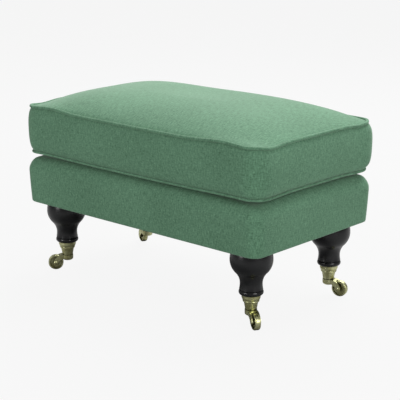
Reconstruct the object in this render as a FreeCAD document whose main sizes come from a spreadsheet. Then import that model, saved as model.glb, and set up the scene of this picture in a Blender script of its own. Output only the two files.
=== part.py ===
"""Upholstered footstool with a loose boxed cushion, turned legs and brass cup castors.

Frame: millimetres, +Z up, X along the length, Y along the depth, front at -Y.
The origin is on the floor, under the middle of the stool.
"""
import FreeCAD, Part
import math
import os
import Sketcher

DOCUMENT = FreeCAD.newDocument("Footstool")

# Driving dimensions, in millimetres and degrees
SIZES = [
    ("overall_length", 715.0, "widest length of the upholstered base"),
    ("overall_depth", 415.0, "widest depth of the upholstered base"),
    ("base_height", 114.0, "underside of the bottom cloth to the deck"),
    ("side_taper", 3.0, "degrees that the sides of the base lean in towards the bottom"),
    ("roll_radius", 27.0, "rolled upper edge of the base"),
    ("base_corner", 26.0, "corner radius of the base seen from above"),
    ("cloth", 1.5, "upholstery cloth with its lining"),
    ("hem_width", 22.0, "cloth turned in under the rails"),
    ("bottom_cloth", 0.8, "black cloth under the frame"),
    ("bottom_margin", 12.0, "bottom cloth edge to the edge of the base"),
    ("soft_gap", 0.3, "space between layers that lie on each other"),
    ("rail_padding", 9.0, "wadding between the cover and the rails"),
    ("rail_width", 22.0, "thickness of the rails"),
    ("rail_height", 70.0, "height of the rails"),
    ("block_side", 105.0, "corner block along each rail"),
    ("block_height", 45.0, "height of the corner blocks"),
    ("brace_width", 30.0, "centre brace across the frame"),
    ("web_width", 50.0, "webbing strap"),
    ("web_thickness", 1.5, "webbing strap"),
    ("web_lap", 16.0, "webbing that lies on the rails"),
    ("long_straps", 3.0, "straps along the length"),
    ("cross_straps", 7.0, "straps across the depth"),
    ("deck_wadding", 5.0, "wadding over the deck pad"),
    ("deck_edge", 12.0, "rounded upper edge of the deck pad"),
    ("screw_radius", 2.0, "wood screws in the corner blocks"),
    ("screw_length", 38.0, "wood screws in the corner blocks"),
    ("leg_inset", 65.5, "leg axis to the lower edge of the base"),
    ("leg_height", 101.0, "wood that shows between base and castor"),
    ("leg_top_radius", 42.5, "leg against the underside"),
    ("bulb_radius", 46.2, "widest part of the leg"),
    ("bulb_round", 40.0, "arc below the widest part"),
    ("bulb_shoulder", 80.0, "arc above the widest part"),
    ("bulb_level", 78.0, "widest part above the shoulder of the leg"),
    ("waist_radius", 24.2, "narrowest part of the leg"),
    ("waist_level", 25.0, "narrowest part above the shoulder of the leg"),
    ("neck_radius", 25.5, "leg above the ring"),
    ("neck_round", 60.0, "arc from the waist down to the ring"),
    ("groove_level", 12.6, "top of the groove above the ring"),
    ("groove_width", 1.8, "groove above the ring"),
    ("groove_depth", 1.3, "groove above the ring"),
    ("ring_round", 6.6, "half round ring above the castor"),
    ("foot_radius", 21.0, "shoulder of the leg on the castor cup"),
    ("bolt_radius", 4.0, "bolt that holds a leg"),
    ("bolt_length", 92.0, "bolt that holds a leg"),
    ("bolt_in_leg", 42.0, "bolt inside the leg"),
    ("bolt_gap", 0.05, "radial space around the bolt"),
    ("nut_barrel", 5.4, "barrel radius of the tee nut"),
    ("nut_flange", 11.0, "flange radius of the tee nut"),
    ("nut_plate", 1.5, "flange thickness of the tee nut"),
    ("nut_depth", 11.0, "barrel depth of the tee nut"),
    ("castor_height", 70.0, "floor to the rim of the cup"),
    ("cup_height", 32.0, "height of the brass cup"),
    ("cup_rim_radius", 20.3, "outside of the rim"),
    ("cup_end_radius", 12.4, "outside at the lower end"),
    ("cup_wall", 2.0, "wall of the cup"),
    ("cup_floor", 3.0, "floor of the cup"),
    ("cup_band", 12.0, "rim band of the cup"),
    ("cup_ring", 3.6, "raised ring under the rim band"),
    ("cup_step", 1.0, "step from the ring to the cone"),
    ("spigot_gap", 0.3, "space between the leg and the inside of the cup"),
    ("spigot_length", 24.0, "leg inside the cup"),
    ("tack_radius", 1.3, "shank of the cup screws"),
    ("tack_head", 2.7, "head of the cup screws"),
    ("tack_length", 12.0, "length of the cup screws"),
    ("tack_level", 5.0, "cup screws below the rim"),
    ("tack_bearing", 60.0, "cup screws to each side of the inner diagonal, degrees"),
    ("pivot_radius", 4.0, "swivel pin"),
    ("pivot_gap", 0.05, "radial space around the swivel pin"),
    ("pivot_head", 6.3, "heads of the swivel pin"),
    ("pivot_head_height", 2.4, "heads of the swivel pin"),
    ("washer_radius", 10.0, "washer over the horn"),
    ("washer_height", 0.8, "washer over the horn"),
    ("turning_gap", 0.15, "space between the washer and the horn"),
    ("boss_radius", 13.3, "round boss of the horn"),
    ("boss_height", 13.0, "round boss of the horn"),
    ("boss_round", 5.0, "rounded lower edge of the boss"),
    ("trail", 28.5, "swivel axis to the wheel axis"),
    ("wheel_radius", 18.0, "wheel"),
    ("wheel_width", 12.0, "wheel"),
    ("wheel_rim", 4.0, "depth of the rim"),
    ("wheel_web", 6.4, "thickness of the web"),
    ("wheel_crown", 1.4, "rounding at the sides of the tread"),
    ("wheel_gap", 0.4, "space between the wheel and each arm"),
    ("slot_gap", 1.3, "space around the tread in the horn"),
    ("hub_radius", 6.0, "hub of the wheel"),
    ("arm_width", 4.0, "thickness of each arm of the horn"),
    ("eye_radius", 5.8, "round end of each arm"),
    ("arm_back", 24.0, "arc along the upper edge of the arms"),
    ("arm_belly", 20.0, "arc along the lower edge of the arms"),
    ("axle_radius", 2.5, "wheel axle"),
    ("axle_gap", 0.06, "radial space in the wheel"),
    ("axle_fit", 0.02, "radial space in the arms"),
    ("axle_head", 4.2, "domed heads of the axle"),
    ("axle_head_height", 1.3, "domed heads of the axle"),
    ("bearing_front_left", 226.0, "direction of each wheel from its leg, degrees from +X"),
    ("bearing_front_right", 330.0, "as above"),
    ("bearing_back_left", 157.0, "as above"),
    ("bearing_back_right", 12.0, "as above"),
    ("seam_length", 707.0, "cushion along the centre of the piping"),
    ("seam_depth", 408.0, "cushion along the centre of the piping"),
    ("cushion_corner", 36.0, "corner radius of the cushion at the piping"),
    ("band_height", 105.5, "centre of the lower piping to centre of the upper piping"),
    ("band_bulge", 7.0, "how far the band swells out past the piping"),
    ("crown_rim", 0.9, "edge of the top panel above the middle of the piping"),
    ("crown_height", 45.1, "top of the cushion above the edge of its top panel"),
    ("piping_radius", 3.6, "piping cord with its cloth"),
    ("cushion_gap", 0.4, "cushion above the deck"),
    ("seam_lift", 6.0, "how far the lower piping stands above the deck"),
    ("underside_edge", 40.0, "width over which the underside rises to the lower piping"),
    ("wrap_side_gap", 6.4, "wrap inside the band, with room for the zip"),
    ("wrap_gap", 2.0, "space between the crowned layers of the cushion"),
    ("wrap_thickness", 24.0, "feather and fibre wrap round the foam core"),
    ("zip_length", 560.0, "zip in the back band"),
    ("zip_level", 22.0, "zip above the lower piping"),
    ("zip_slot", 6.6, "gap in the band over the zip"),
    ("tape_height", 20.0, "zip tape"),
    ("tape_set", 2.4, "teeth that stand out from the tape"),
    ("tape_thickness", 0.6, "zip tape"),
    ("chain_height", 4.4, "zip teeth"),
    ("slider_length", 11.0, "zip slider"),
    ("slider_height", 6.4, "zip slider"),
    ("slider_plate", 1.0, "zip slider"),
    ("arch_length", 8.0, "arch on the slider"),
    ("arch_height", 1.1, "space under the arch"),
    ("arch_bar", 0.7, "thickness of the arch"),
    ("arch_width", 2.4, "width of the arch"),
    ("tab_length", 24.0, "pull tab"),
    ("tab_width", 7.0, "pull tab"),
    ("tab_eye", 5.4, "length of the eye in the pull tab"),
    ("lift_clear", 0.2, "space between slider and teeth"),
]


def fill_sheet():
    """Writes every driving dimension into the spreadsheet, one row each, with its alias."""
    sheet = DOCUMENT.addObject("Spreadsheet::Sheet", "Size")
    for row, (alias, number, meaning) in enumerate(SIZES, start=1):
        sheet.set("A%d" % row, alias)
        sheet.set("B%d" % row, str(number))
        sheet.set("C%d" % row, meaning)
        sheet.setAlias("B%d" % row, alias)
    DOCUMENT.recompute()
    return sheet


SHEET = fill_sheet()


def value(expression):
    """The number that an expression over the sheet gives now."""
    number = SHEET.evalExpression(str(expression))
    return float(getattr(number, "Value", number))


def bind(thing, name, expression):
    """Ties one property to an expression over the sheet."""
    thing.setExpression(name, str(expression))


# Expressions that several pieces share
FLOOR_TO_BASE = "(Size.leg_height + Size.castor_height)"
DECK_LEVEL = "(%s + Size.base_height)" % FLOOR_TO_BASE
LEAN = "(tan(Size.side_taper) * (Size.base_height - Size.roll_radius))"
BOTTOM_LENGTH = "(Size.overall_length - 2 * %s)" % LEAN
BOTTOM_DEPTH = "(Size.overall_depth - 2 * %s)" % LEAN
LEG_X = "(%s / 2 - Size.leg_inset)" % BOTTOM_LENGTH
LEG_Y = "(%s / 2 - Size.leg_inset)" % BOTTOM_DEPTH
COVER_BOTTOM = "(%s + Size.bottom_cloth)" % FLOOR_TO_BASE
RAIL_BOTTOM = "(%s + Size.cloth)" % COVER_BOTTOM
RAIL_TOP = "(%s + Size.rail_height)" % RAIL_BOTTOM
RAIL_SET = "(Size.cloth + Size.rail_padding)"
FRAME_LENGTH = "(%s - 2 * %s)" % (BOTTOM_LENGTH, RAIL_SET)
FRAME_DEPTH = "(%s - 2 * %s)" % (BOTTOM_DEPTH, RAIL_SET)
CUP_BOTTOM = "(Size.castor_height - Size.cup_height)"
BOSS_TOP = "(%s - Size.washer_height - Size.turning_gap)" % CUP_BOTTOM
BOSS_BOTTOM = "(%s - Size.boss_height)" % BOSS_TOP
FORK_WIDTH = "(Size.wheel_width + 2 * Size.wheel_gap + 2 * Size.arm_width)"
LOWER_SEAM = "(%s + Size.cushion_gap + Size.piping_radius + Size.seam_lift)" % DECK_LEVEL
UPPER_SEAM = "(%s + Size.band_height)" % LOWER_SEAM
SEAT_BOTTOM = "(%s + Size.cushion_gap)" % DECK_LEVEL

# Corners of the stool: name, side along X, side along Y
CORNERS = [
    ("front_left", -1, -1),
    ("front_right", 1, -1),
    ("back_left", -1, 1),
    ("back_right", 1, 1),
]
EXPORTS = []


def keep(thing, label):
    """Names a finished sub-part and puts it on the list of parts to write."""
    thing.Label = label
    EXPORTS.append(thing)
    return thing


def new_body(name):
    """A body with its own origin."""
    body = DOCUMENT.addObject("PartDesign::Body", name)
    body.Label = name
    return body


def origin_plane(body, role):
    """One of the body's own base planes."""
    return [f for f in body.Origin.OriginFeatures if f.Role == role][0]


def dome_radius(across, height):
    """Radius of the ball that a round cap of this radius and height is cut from."""
    return "((%s * %s + %s * %s) / (2 * %s))" % (across, across, height, height, height)


def new_sketch(body, name, role, lift=None):
    """A sketch on one of the body's base planes, lifted along its normal if asked."""
    sketch = body.newObject("Sketcher::SketchObject", name)
    sketch.AttachmentSupport = (origin_plane(body, role), "")
    sketch.MapMode = "FlatFace"
    if lift is not None:
        bind(sketch, "AttachmentOffset.Base.z", lift)
    return sketch


def flat_point(x, y):
    """A point of a sketch."""
    return FreeCAD.Vector(x, y, 0)


def rounded_rectangle(sketch, length, depth, radius):
    """A rectangle with round corners about the sketch's origin, held by three sizes."""
    half_x = value(length) / 2
    half_y = value(depth) / 2
    r = value(radius)
    inner_x = half_x - r
    inner_y = half_y - r
    sides = [
        Part.LineSegment(flat_point(-inner_x, -half_y), flat_point(inner_x, -half_y)),
        Part.LineSegment(flat_point(half_x, -inner_y), flat_point(half_x, inner_y)),
        Part.LineSegment(flat_point(inner_x, half_y), flat_point(-inner_x, half_y)),
        Part.LineSegment(flat_point(-half_x, inner_y), flat_point(-half_x, -inner_y)),
    ]
    centres = [(inner_x, -inner_y), (inner_x, inner_y), (-inner_x, inner_y), (-inner_x, -inner_y)]
    arcs = []
    for turn, (x, y) in enumerate(centres):
        circle = Part.Circle(flat_point(x, y), FreeCAD.Vector(0, 0, 1), r)
        start = math.radians(90 * turn - 90)
        arcs.append(Part.ArcOfCircle(circle, start, start + math.pi / 2))
    sketch.addGeometry(sides + arcs, False)
    rules = []
    for side in range(4):
        rules.append(Sketcher.Constraint("Tangent", side, 2, 4 + side, 1))
        rules.append(Sketcher.Constraint("Tangent", 4 + side, 2, (side + 1) % 4, 1))
    rules.append(Sketcher.Constraint("Horizontal", 0))
    rules.append(Sketcher.Constraint("Horizontal", 2))
    rules.append(Sketcher.Constraint("Vertical", 1))
    rules.append(Sketcher.Constraint("Vertical", 3))
    for arc in (5, 6, 7):
        rules.append(Sketcher.Constraint("Equal", 4, arc))
    rules.append(Sketcher.Constraint("Symmetric", 0, 1, 2, 1, -1, 1))
    rules.append(Sketcher.Constraint("DistanceX", 3, 1, 1, 1, 2 * half_x))
    rules.append(Sketcher.Constraint("DistanceY", 0, 1, 2, 1, 2 * half_y))
    rules.append(Sketcher.Constraint("Radius", 4, r))
    sketch.addConstraint(rules)
    last = sketch.ConstraintCount - 1
    bind(sketch, "Constraints[%d]" % (last - 2), length)
    bind(sketch, "Constraints[%d]" % (last - 1), depth)
    bind(sketch, "Constraints[%d]" % last, radius)


def arc_between(start, end, radius, bulge):
    """The short arc between two points. bulge is 1 where it swells to the left of the way along."""
    chord = end.sub(start)
    half = chord.Length / 2
    across = FreeCAD.Vector(-chord.y, chord.x, 0).multiply(1 / chord.Length)
    middle = start.add(end).multiply(0.5)
    drop = math.sqrt(max(radius * radius - half * half, 0.0))
    centre = middle.sub(FreeCAD.Vector(across).multiply(drop * bulge))
    crest = centre.add(FreeCAD.Vector(across).multiply(radius * bulge))
    return Part.Arc(start, crest, end)


def outline(sketch, corners):
    """A closed outline. Each corner is (x, y, edge), and the edge runs on to the next corner.

    x and y are expressions. The edge is None for a straight line, or (radius, bulge) for an arc.
    """
    points = [flat_point(value(x), value(y)) for x, y, _ in corners]
    count = len(corners)
    ends = []
    for number, (_, _, edge) in enumerate(corners):
        start = points[number]
        end = points[(number + 1) % count]
        if edge is None:
            sketch.addGeometry(Part.LineSegment(start, end), False)
            ends.append((1, 2))
            continue
        radius, bulge = edge
        sketch.addGeometry(arc_between(start, end, value(radius), bulge), False)
        # A sketch keeps arcs anticlockwise, so a left bulge runs backwards
        ends.append((2, 1) if bulge > 0 else (1, 2))
    for number, (x, y, edge) in enumerate(corners):
        before = (number - 1) % count
        first = ends[number][0]
        sketch.addConstraint(Sketcher.Constraint("Coincident", before, ends[before][1], number, first))
        hold(sketch, "DistanceX", number, first, x, -2)
        hold(sketch, "DistanceY", number, first, y, -1)
        if edge is not None:
            index = sketch.addConstraint(Sketcher.Constraint("Radius", number, value(edge[0])))
            bind(sketch, "Constraints[%d]" % index, edge[0])


def hold(sketch, kind, edge, end, expression, axis):
    """Places one end of an edge at a distance from the sketch's origin, or on its axis."""
    if expression == "0":
        sketch.addConstraint(Sketcher.Constraint("PointOnObject", edge, end, axis))
        return
    rule = Sketcher.Constraint(kind, -1, 1, edge, end, value(expression))
    bind(sketch, "Constraints[%d]" % sketch.addConstraint(rule), expression)


def turn_profile(body, name, corners, role="XZ_Plane"):
    """Revolves an outline round the upright axis of its sketch."""
    sketch = new_sketch(body, name + "_profile", role)
    outline(sketch, corners)
    feature = body.newObject("PartDesign::Revolution", name + "_turning")
    feature.Profile = sketch
    feature.ReferenceAxis = (sketch, ["V_Axis"])
    feature.Angle = 360
    return feature


def pad(body, name, sketch, height, midplane=False):
    """Raises a sketch into a solid."""
    feature = body.newObject("PartDesign::Pad", name)
    feature.Profile = sketch
    feature.Midplane = midplane
    bind(feature, "Length", height)
    return feature


def pocket(body, name, sketch, depth):
    """Cuts a sketch out to both sides of its plane."""
    feature = body.newObject("PartDesign::Pocket", name)
    feature.Profile = sketch
    feature.Midplane = True
    bind(feature, "Length", depth)
    return feature


def circle_sketch(body, name, role, x, y, radius, lift=None):
    """A sketch with one circle."""
    sketch = new_sketch(body, name, role, lift)
    circle = Part.Circle(flat_point(value(x), value(y)), FreeCAD.Vector(0, 0, 1), value(radius))
    sketch.addGeometry(circle, False)
    hold(sketch, "DistanceX", 0, 3, x, -2)
    hold(sketch, "DistanceY", 0, 3, y, -1)
    index = sketch.addConstraint(Sketcher.Constraint("Radius", 0, value(radius)))
    bind(sketch, "Constraints[%d]" % index, radius)
    return sketch


def edges_at(shape, level, tolerance=0.01):
    """Names of the edges that lie flat at a level."""
    names = []
    for number, edge in enumerate(shape.Edges, start=1):
        box = edge.BoundBox
        if abs(box.ZMin - level) < tolerance and abs(box.ZMax - level) < tolerance:
            names.append("Edge%d" % number)
    return names


def place(thing, x, y, z="0", bearing=None):
    """Ties the placement of a finished piece to the sheet."""
    if bearing is not None:
        turn = FreeCAD.Rotation(FreeCAD.Vector(0, 0, 1), value(bearing))
        thing.Placement = FreeCAD.Placement(FreeCAD.Vector(0, 0, 0), turn)
        bind(thing, "Placement.Rotation.Angle", bearing)
    bind(thing, "Placement.Base.x", x)
    bind(thing, "Placement.Base.y", y)
    bind(thing, "Placement.Base.z", z)


def box(name, length, depth, height, x, y, z):
    """A box given by its sizes and the middle of its underside."""
    made = DOCUMENT.addObject("Part::Box", name)
    bind(made, "Length", length)
    bind(made, "Width", depth)
    bind(made, "Height", height)
    place(made, "%s - (%s) / 2" % (x, length), "%s - (%s) / 2" % (y, depth), z)
    return made


def cylinder(name, radius, height, x, y, z):
    """An upright cylinder given by the middle of its underside."""
    made = DOCUMENT.addObject("Part::Cylinder", name)
    bind(made, "Radius", radius)
    bind(made, "Height", height)
    place(made, x, y, z)
    return made


def cut(name, base, tool):
    """base without tool."""
    made = DOCUMENT.addObject("Part::Cut", name)
    made.Base = base
    made.Tool = tool
    return made


def common(name, base, tool):
    """What base and tool share."""
    made = DOCUMENT.addObject("Part::Common", name)
    made.Base = base
    made.Tool = tool
    return made


def fuse(name, pieces):
    """Several pieces as one."""
    made = DOCUMENT.addObject("Part::MultiFuse", name)
    made.Shapes = pieces
    return made


def group(name, pieces):
    """Separate solids in one sub-part."""
    made = DOCUMENT.addObject("Part::Compound", name)
    made.Links = pieces
    return made


def upholstered_block(name, inset, bottom, top, edge):
    """The form of the base, moved in all round by inset, from one level to another."""
    body = new_body(name)
    sketch = new_sketch(body, name + "_plan", "XY_Plane", bottom)
    out = "(tan(Size.side_taper) * (%s - %s) - (%s))" % (bottom, COVER_BOTTOM, inset)
    length = "%s + 2 * %s" % (BOTTOM_LENGTH, out)
    depth = "%s + 2 * %s" % (BOTTOM_DEPTH, out)
    rounded_rectangle(sketch, length, depth, "Size.base_corner + %s" % out)
    block = pad(body, name + "_pad", sketch, "%s - (%s)" % (top, bottom))
    bind(block, "TaperAngle", "Size.side_taper")
    DOCUMENT.recompute()
    roll = body.newObject("PartDesign::Fillet", name + "_roll")
    roll.Base = (block, edges_at(block.Shape, value(top)))
    bind(roll, "Radius", edge)
    return body


def base_cover():
    """Cloth over the base: a shell open below, with its hem turned in under the rails."""
    outer = upholstered_block("cover_outside", "0", COVER_BOTTOM, DECK_LEVEL, "Size.roll_radius")
    inner = upholstered_block(
        "cover_inside",
        "Size.cloth",
        RAIL_BOTTOM,
        "(%s - Size.cloth)" % DECK_LEVEL,
        "Size.roll_radius - Size.cloth",
    )
    opening = new_body("hem_opening")
    sketch = new_sketch(opening, "hem_plan", "XY_Plane", FLOOR_TO_BASE)
    rounded_rectangle(
        sketch,
        "%s - 2 * Size.hem_width" % BOTTOM_LENGTH,
        "%s - 2 * Size.hem_width" % BOTTOM_DEPTH,
        "Size.base_corner - Size.hem_width",
    )
    pad(opening, "hem_pad", sketch, "Size.bottom_cloth + Size.cloth + Size.rail_height / 2")
    hollow = cut("cover_hollow", outer, inner)
    keep(cut("base_cover", hollow, opening), "base_cover")


def base_wadding():
    """Wadding between the cover and the frame, over the sides and the deck pad."""
    inset = "(Size.cloth + Size.soft_gap)"
    bottom = "(%s + Size.soft_gap)" % RAIL_BOTTOM
    outer = upholstered_block(
        "wadding_outside",
        inset,
        bottom,
        "(%s - %s)" % (DECK_LEVEL, inset),
        "Size.roll_radius - %s" % inset,
    )
    inner = deck_form("wadding_inside", "-Size.soft_gap", FLOOR_TO_BASE)
    keep(cut("base_wadding", outer, inner), "base_wadding")


def deck_form(name, inset, bottom):
    """A straight block over the frame's plan, with a rounded upper edge."""
    body = new_body(name)
    sketch = new_sketch(body, name + "_plan", "XY_Plane", bottom)
    rounded_rectangle(
        sketch,
        "%s - 2 * (%s)" % (FRAME_LENGTH, inset),
        "%s - 2 * (%s)" % (FRAME_DEPTH, inset),
        "Size.base_corner - %s - (%s)" % (RAIL_SET, inset),
    )
    top = "(%s - Size.cloth - 2 * Size.soft_gap - Size.deck_wadding - (%s))" % (DECK_LEVEL, inset)
    block = pad(body, name + "_pad", sketch, "%s - (%s)" % (top, bottom))
    DOCUMENT.recompute()
    roll = body.newObject("PartDesign::Fillet", name + "_roll")
    roll.Base = (block, edges_at(block.Shape, value(top)))
    bind(roll, "Radius", "Size.deck_edge - (%s)" % inset)
    return body


def bottom_cloth():
    """Black cloth under the frame, with a hole for each leg bolt."""
    body = new_body("bottom_cloth")
    sketch = new_sketch(body, "bottom_plan", "XY_Plane", FLOOR_TO_BASE)
    rounded_rectangle(
        sketch,
        "%s - 2 * Size.bottom_margin" % BOTTOM_LENGTH,
        "%s - 2 * Size.bottom_margin" % BOTTOM_DEPTH,
        "Size.base_corner - Size.bottom_margin",
    )
    pad(body, "bottom_pad", sketch, "Size.bottom_cloth")
    for corner, side_x, side_y in CORNERS:
        x = "%d * %s" % (side_x, LEG_X)
        y = "%d * %s" % (side_y, LEG_Y)
        hole = circle_sketch(body, "bolt_hole_" + corner, "XY_Plane", x, y, "Size.bolt_radius + Size.bolt_gap")
        bind(hole, "AttachmentOffset.Base.z", FLOOR_TO_BASE)
        pocket(body, "bolt_cut_" + corner, hole, "4 * Size.bottom_cloth")
    keep(body, "bottom_cloth")


def rails():
    """Four rails, rounded at the corners of the frame, and a brace across the middle, of hardwood."""
    plan = new_body("frame_plan")
    sketch = new_sketch(plan, "frame_outline", "XY_Plane", RAIL_BOTTOM)
    rounded_rectangle(sketch, FRAME_LENGTH, FRAME_DEPTH, "Size.base_corner - %s" % RAIL_SET)
    pad(plan, "frame_block", sketch, "Size.rail_height")
    side_length = "(%s - 2 * Size.rail_width)" % FRAME_DEPTH
    rail_y = "(%s / 2 - Size.rail_width / 2)" % FRAME_DEPTH
    rail_x = "(%s / 2 - Size.rail_width / 2)" % FRAME_LENGTH
    for name, side in (("front_rail", -1), ("back_rail", 1)):
        y = "%d * %s" % (side, rail_y)
        blank = box(name + "_blank", FRAME_LENGTH, "Size.rail_width", "Size.rail_height", "0", y, RAIL_BOTTOM)
        keep(common(name, blank, plan), name)
    for name, side in (("left_rail", -1), ("right_rail", 1)):
        x = "%d * %s" % (side, rail_x)
        blank = box(name + "_blank", "Size.rail_width", side_length, "Size.rail_height", x, "0", RAIL_BOTTOM)
        keep(common(name, blank, plan), name)
    brace_height = "(Size.rail_height - 30)"
    keep(box("centre_brace", "Size.brace_width", side_length, brace_height, "0", "0", RAIL_BOTTOM), "centre_brace")


def corner_block(corner, side_x, side_y):
    """A triangular block glued and screwed into one corner of the frame, bored for the leg bolt."""
    body = new_body("block_" + corner)
    sketch = new_sketch(body, "block_plan_" + corner, "XY_Plane", RAIL_BOTTOM)
    x = "%d * (%s / 2 - Size.rail_width)" % (side_x, FRAME_LENGTH)
    y = "%d * (%s / 2 - Size.rail_width)" % (side_y, FRAME_DEPTH)
    outline(
        sketch,
        [
            (x, y, None),
            ("%s - %d * Size.block_side" % (x, side_x), y, None),
            (x, "%s - %d * Size.block_side" % (y, side_y), None),
        ],
    )
    pad(body, "block_pad_" + corner, sketch, "Size.block_height")
    leg_x = "%d * %s" % (side_x, LEG_X)
    leg_y = "%d * %s" % (side_y, LEG_Y)
    top = "%s + Size.block_height" % RAIL_BOTTOM
    bore = circle_sketch(body, "bore_" + corner, "XY_Plane", leg_x, leg_y, "Size.bolt_radius + Size.bolt_gap", top)
    pocket(body, "bore_cut_" + corner, bore, "3 * Size.block_height")
    seat = circle_sketch(body, "seat_" + corner, "XY_Plane", leg_x, leg_y, "Size.nut_barrel + Size.bolt_gap", top)
    pocket(body, "seat_cut_" + corner, seat, "2 * (Size.nut_depth + Size.soft_gap)")
    keep(body, "corner_block_" + corner)


def block_screws():
    """Two wood screws through each corner block into the rails."""
    made = []
    level = "%s + Size.block_height / 2" % RAIL_BOTTOM
    for corner, side_x, side_y in CORNERS:
        inner_x = "%d * (%s / 2 - Size.rail_width)" % (side_x, FRAME_LENGTH)
        inner_y = "%d * (%s / 2 - Size.rail_width)" % (side_y, FRAME_DEPTH)
        along = "Size.block_side * 0.72"
        in_block = "(Size.screw_length - Size.rail_width * 0.6)"
        for axis in ("x", "y"):
            screw = DOCUMENT.addObject("Part::Cylinder", "screw_%s_%s" % (axis, corner))
            bind(screw, "Radius", "Size.screw_radius")
            bind(screw, "Height", "Size.screw_length")
            if axis == "x":
                turn = FreeCAD.Rotation(FreeCAD.Vector(0, 1, 0), 90 * side_x)
                x = "%s - %d * %s" % (inner_x, side_x, in_block)
                y = "%s - %d * %s" % (inner_y, side_y, along)
            else:
                turn = FreeCAD.Rotation(FreeCAD.Vector(1, 0, 0), -90 * side_y)
                x = "%s - %d * %s" % (inner_x, side_x, along)
                y = "%s - %d * %s" % (inner_y, side_y, in_block)
            screw.Placement = FreeCAD.Placement(FreeCAD.Vector(0, 0, 0), turn)
            place(screw, x, y, level)
            made.append(screw)
    keep(group("block_screws", made), "block_screws")


def spread_positions(count, span):
    """Middles of equally spaced straps over a span."""
    step = span / count
    return [step * (n + 0.5) - span / 2 for n in range(count)]


def strap(path, width):
    """A flat strap that follows a path of (along, level) points, about the middle of its width."""
    thick = value("Size.web_thickness")
    lower = [FreeCAD.Vector(along, -width / 2, level) for along, level in path]
    upper = [FreeCAD.Vector(along, -width / 2, level + thick) for along, level in reversed(path)]
    face = Part.Face(Part.makePolygon(lower + upper + lower[:1]))
    return face.extrude(FreeCAD.Vector(0, width, 0))


def webbing():
    """Interlaced straps over the frame: those across dip under and rise over those along."""
    gap = value("Size.soft_gap")
    width = value("Size.web_width")
    rest = value(RAIL_TOP)
    lap = value("Size.web_lap")
    step = value("Size.web_thickness") + gap
    half_x = value(FRAME_LENGTH) / 2 - value("Size.rail_width")
    half_y = value(FRAME_DEPTH) / 2 - value("Size.rail_width")
    rows = spread_positions(int(value("Size.long_straps")), 2 * half_y)
    columns = spread_positions(int(value("Size.cross_straps")), 2 * half_x)
    along = []
    reach = half_x + columns[0] - width / 2
    path = [(-half_x - lap, rest), (-half_x, rest), (reach - half_x, rest + step)]
    path += [(-x, z) for x, z in reversed(path)]
    for row in rows:
        made = strap(path, width)
        made.translate(FreeCAD.Vector(0, row, 0))
        along.append(made)
    across = []
    for number, column in enumerate(columns):
        path = [(-half_y - lap, rest), (-half_y, rest)]
        for order, row in enumerate(rows):
            over = (number + order) % 2 == 0
            level = rest + 2 * step if over else rest
            path.append((row - width / 2 - gap, level))
            path.append((row + width / 2 + gap, level))
        path += [(half_y, rest), (half_y + lap, rest)]
        made = strap(path, width)
        made.rotate(FreeCAD.Vector(0, 0, 0), FreeCAD.Vector(0, 0, 1), 90)
        made.translate(FreeCAD.Vector(column, 0, 0))
        across.append(made)
    for name, straps in (("webbing_along", along), ("webbing_across", across)):
        made = DOCUMENT.addObject("Part::Feature", name)
        made.Shape = Part.makeCompound(straps)
        keep(made, name)


def deck_pad():
    """Foam pad over the webbing."""
    lift = "(3 * (Size.web_thickness + Size.soft_gap) + Size.soft_gap)"
    keep(deck_form("deck_foam", "0", "(%s + %s)" % (RAIL_TOP, lift)), "deck_pad")


def leg(corner, side_x, side_y):
    """One turned leg, ebonised: bulb, cove, ring, and a spigot that goes into the castor cup."""
    body = new_body("leg_body_" + corner)
    base = "Size.castor_height"
    bulb_x = "(Size.bulb_radius - Size.bulb_round)"
    rise = "(Size.waist_level - Size.bulb_level)"
    run = "(Size.waist_radius - %s)" % bulb_x
    cove = "((%s * %s + %s * %s - Size.bulb_round * Size.bulb_round) / (2 * (Size.bulb_round - %s)))" % (
        run, run, rise, rise, run,
    )
    share = "(Size.bulb_round / (Size.bulb_round + %s))" % cove
    join_x = "(%s + (%s + %s) * %s)" % (bulb_x, run, cove, share)
    join_level = "(Size.bulb_level + %s * %s)" % (rise, share)
    slope = "((Size.cup_rim_radius - Size.cup_end_radius) / Size.cup_height)"
    inside = "(Size.cup_rim_radius - Size.cup_wall - Size.spigot_gap)"
    turn_profile(
        body,
        "leg_" + corner,
        [
            ("0", "%s - Size.spigot_length" % base, None),
            ("%s - %s * Size.spigot_length" % (inside, slope), "%s - Size.spigot_length" % base, None),
            (inside, base, None),
            ("Size.foot_radius", base, ("Size.ring_round", -1)),
            (
                "Size.neck_radius - 0.4",
                "%s + Size.groove_level - Size.groove_width" % base,
                None,
            ),
            (
                "Size.neck_radius - Size.groove_depth",
                "%s + Size.groove_level - Size.groove_width / 2" % base,
                None,
            ),
            ("Size.neck_radius", "%s + Size.groove_level" % base, ("Size.neck_round", 1)),
            ("Size.waist_radius", "%s + Size.waist_level" % base, (cove, 1)),
            (join_x, "%s + %s" % (base, join_level), ("Size.bulb_round", -1)),
            ("Size.bulb_radius", "%s + Size.bulb_level" % base, ("Size.bulb_shoulder", -1)),
            ("Size.leg_top_radius", "%s + Size.leg_height" % base, None),
            ("0", "%s + Size.leg_height" % base, None),
        ],
    )
    bore = circle_sketch(
        body, "leg_bore_" + corner, "XY_Plane", "0", "0", "Size.bolt_radius + Size.bolt_gap", FLOOR_TO_BASE
    )
    pocket(body, "leg_bore_cut_" + corner, bore, "2 * (Size.bolt_in_leg + Size.soft_gap)")
    place(body, "%d * %s" % (side_x, LEG_X), "%d * %s" % (side_y, LEG_Y))
    keep(body, "leg_" + corner)


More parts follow.
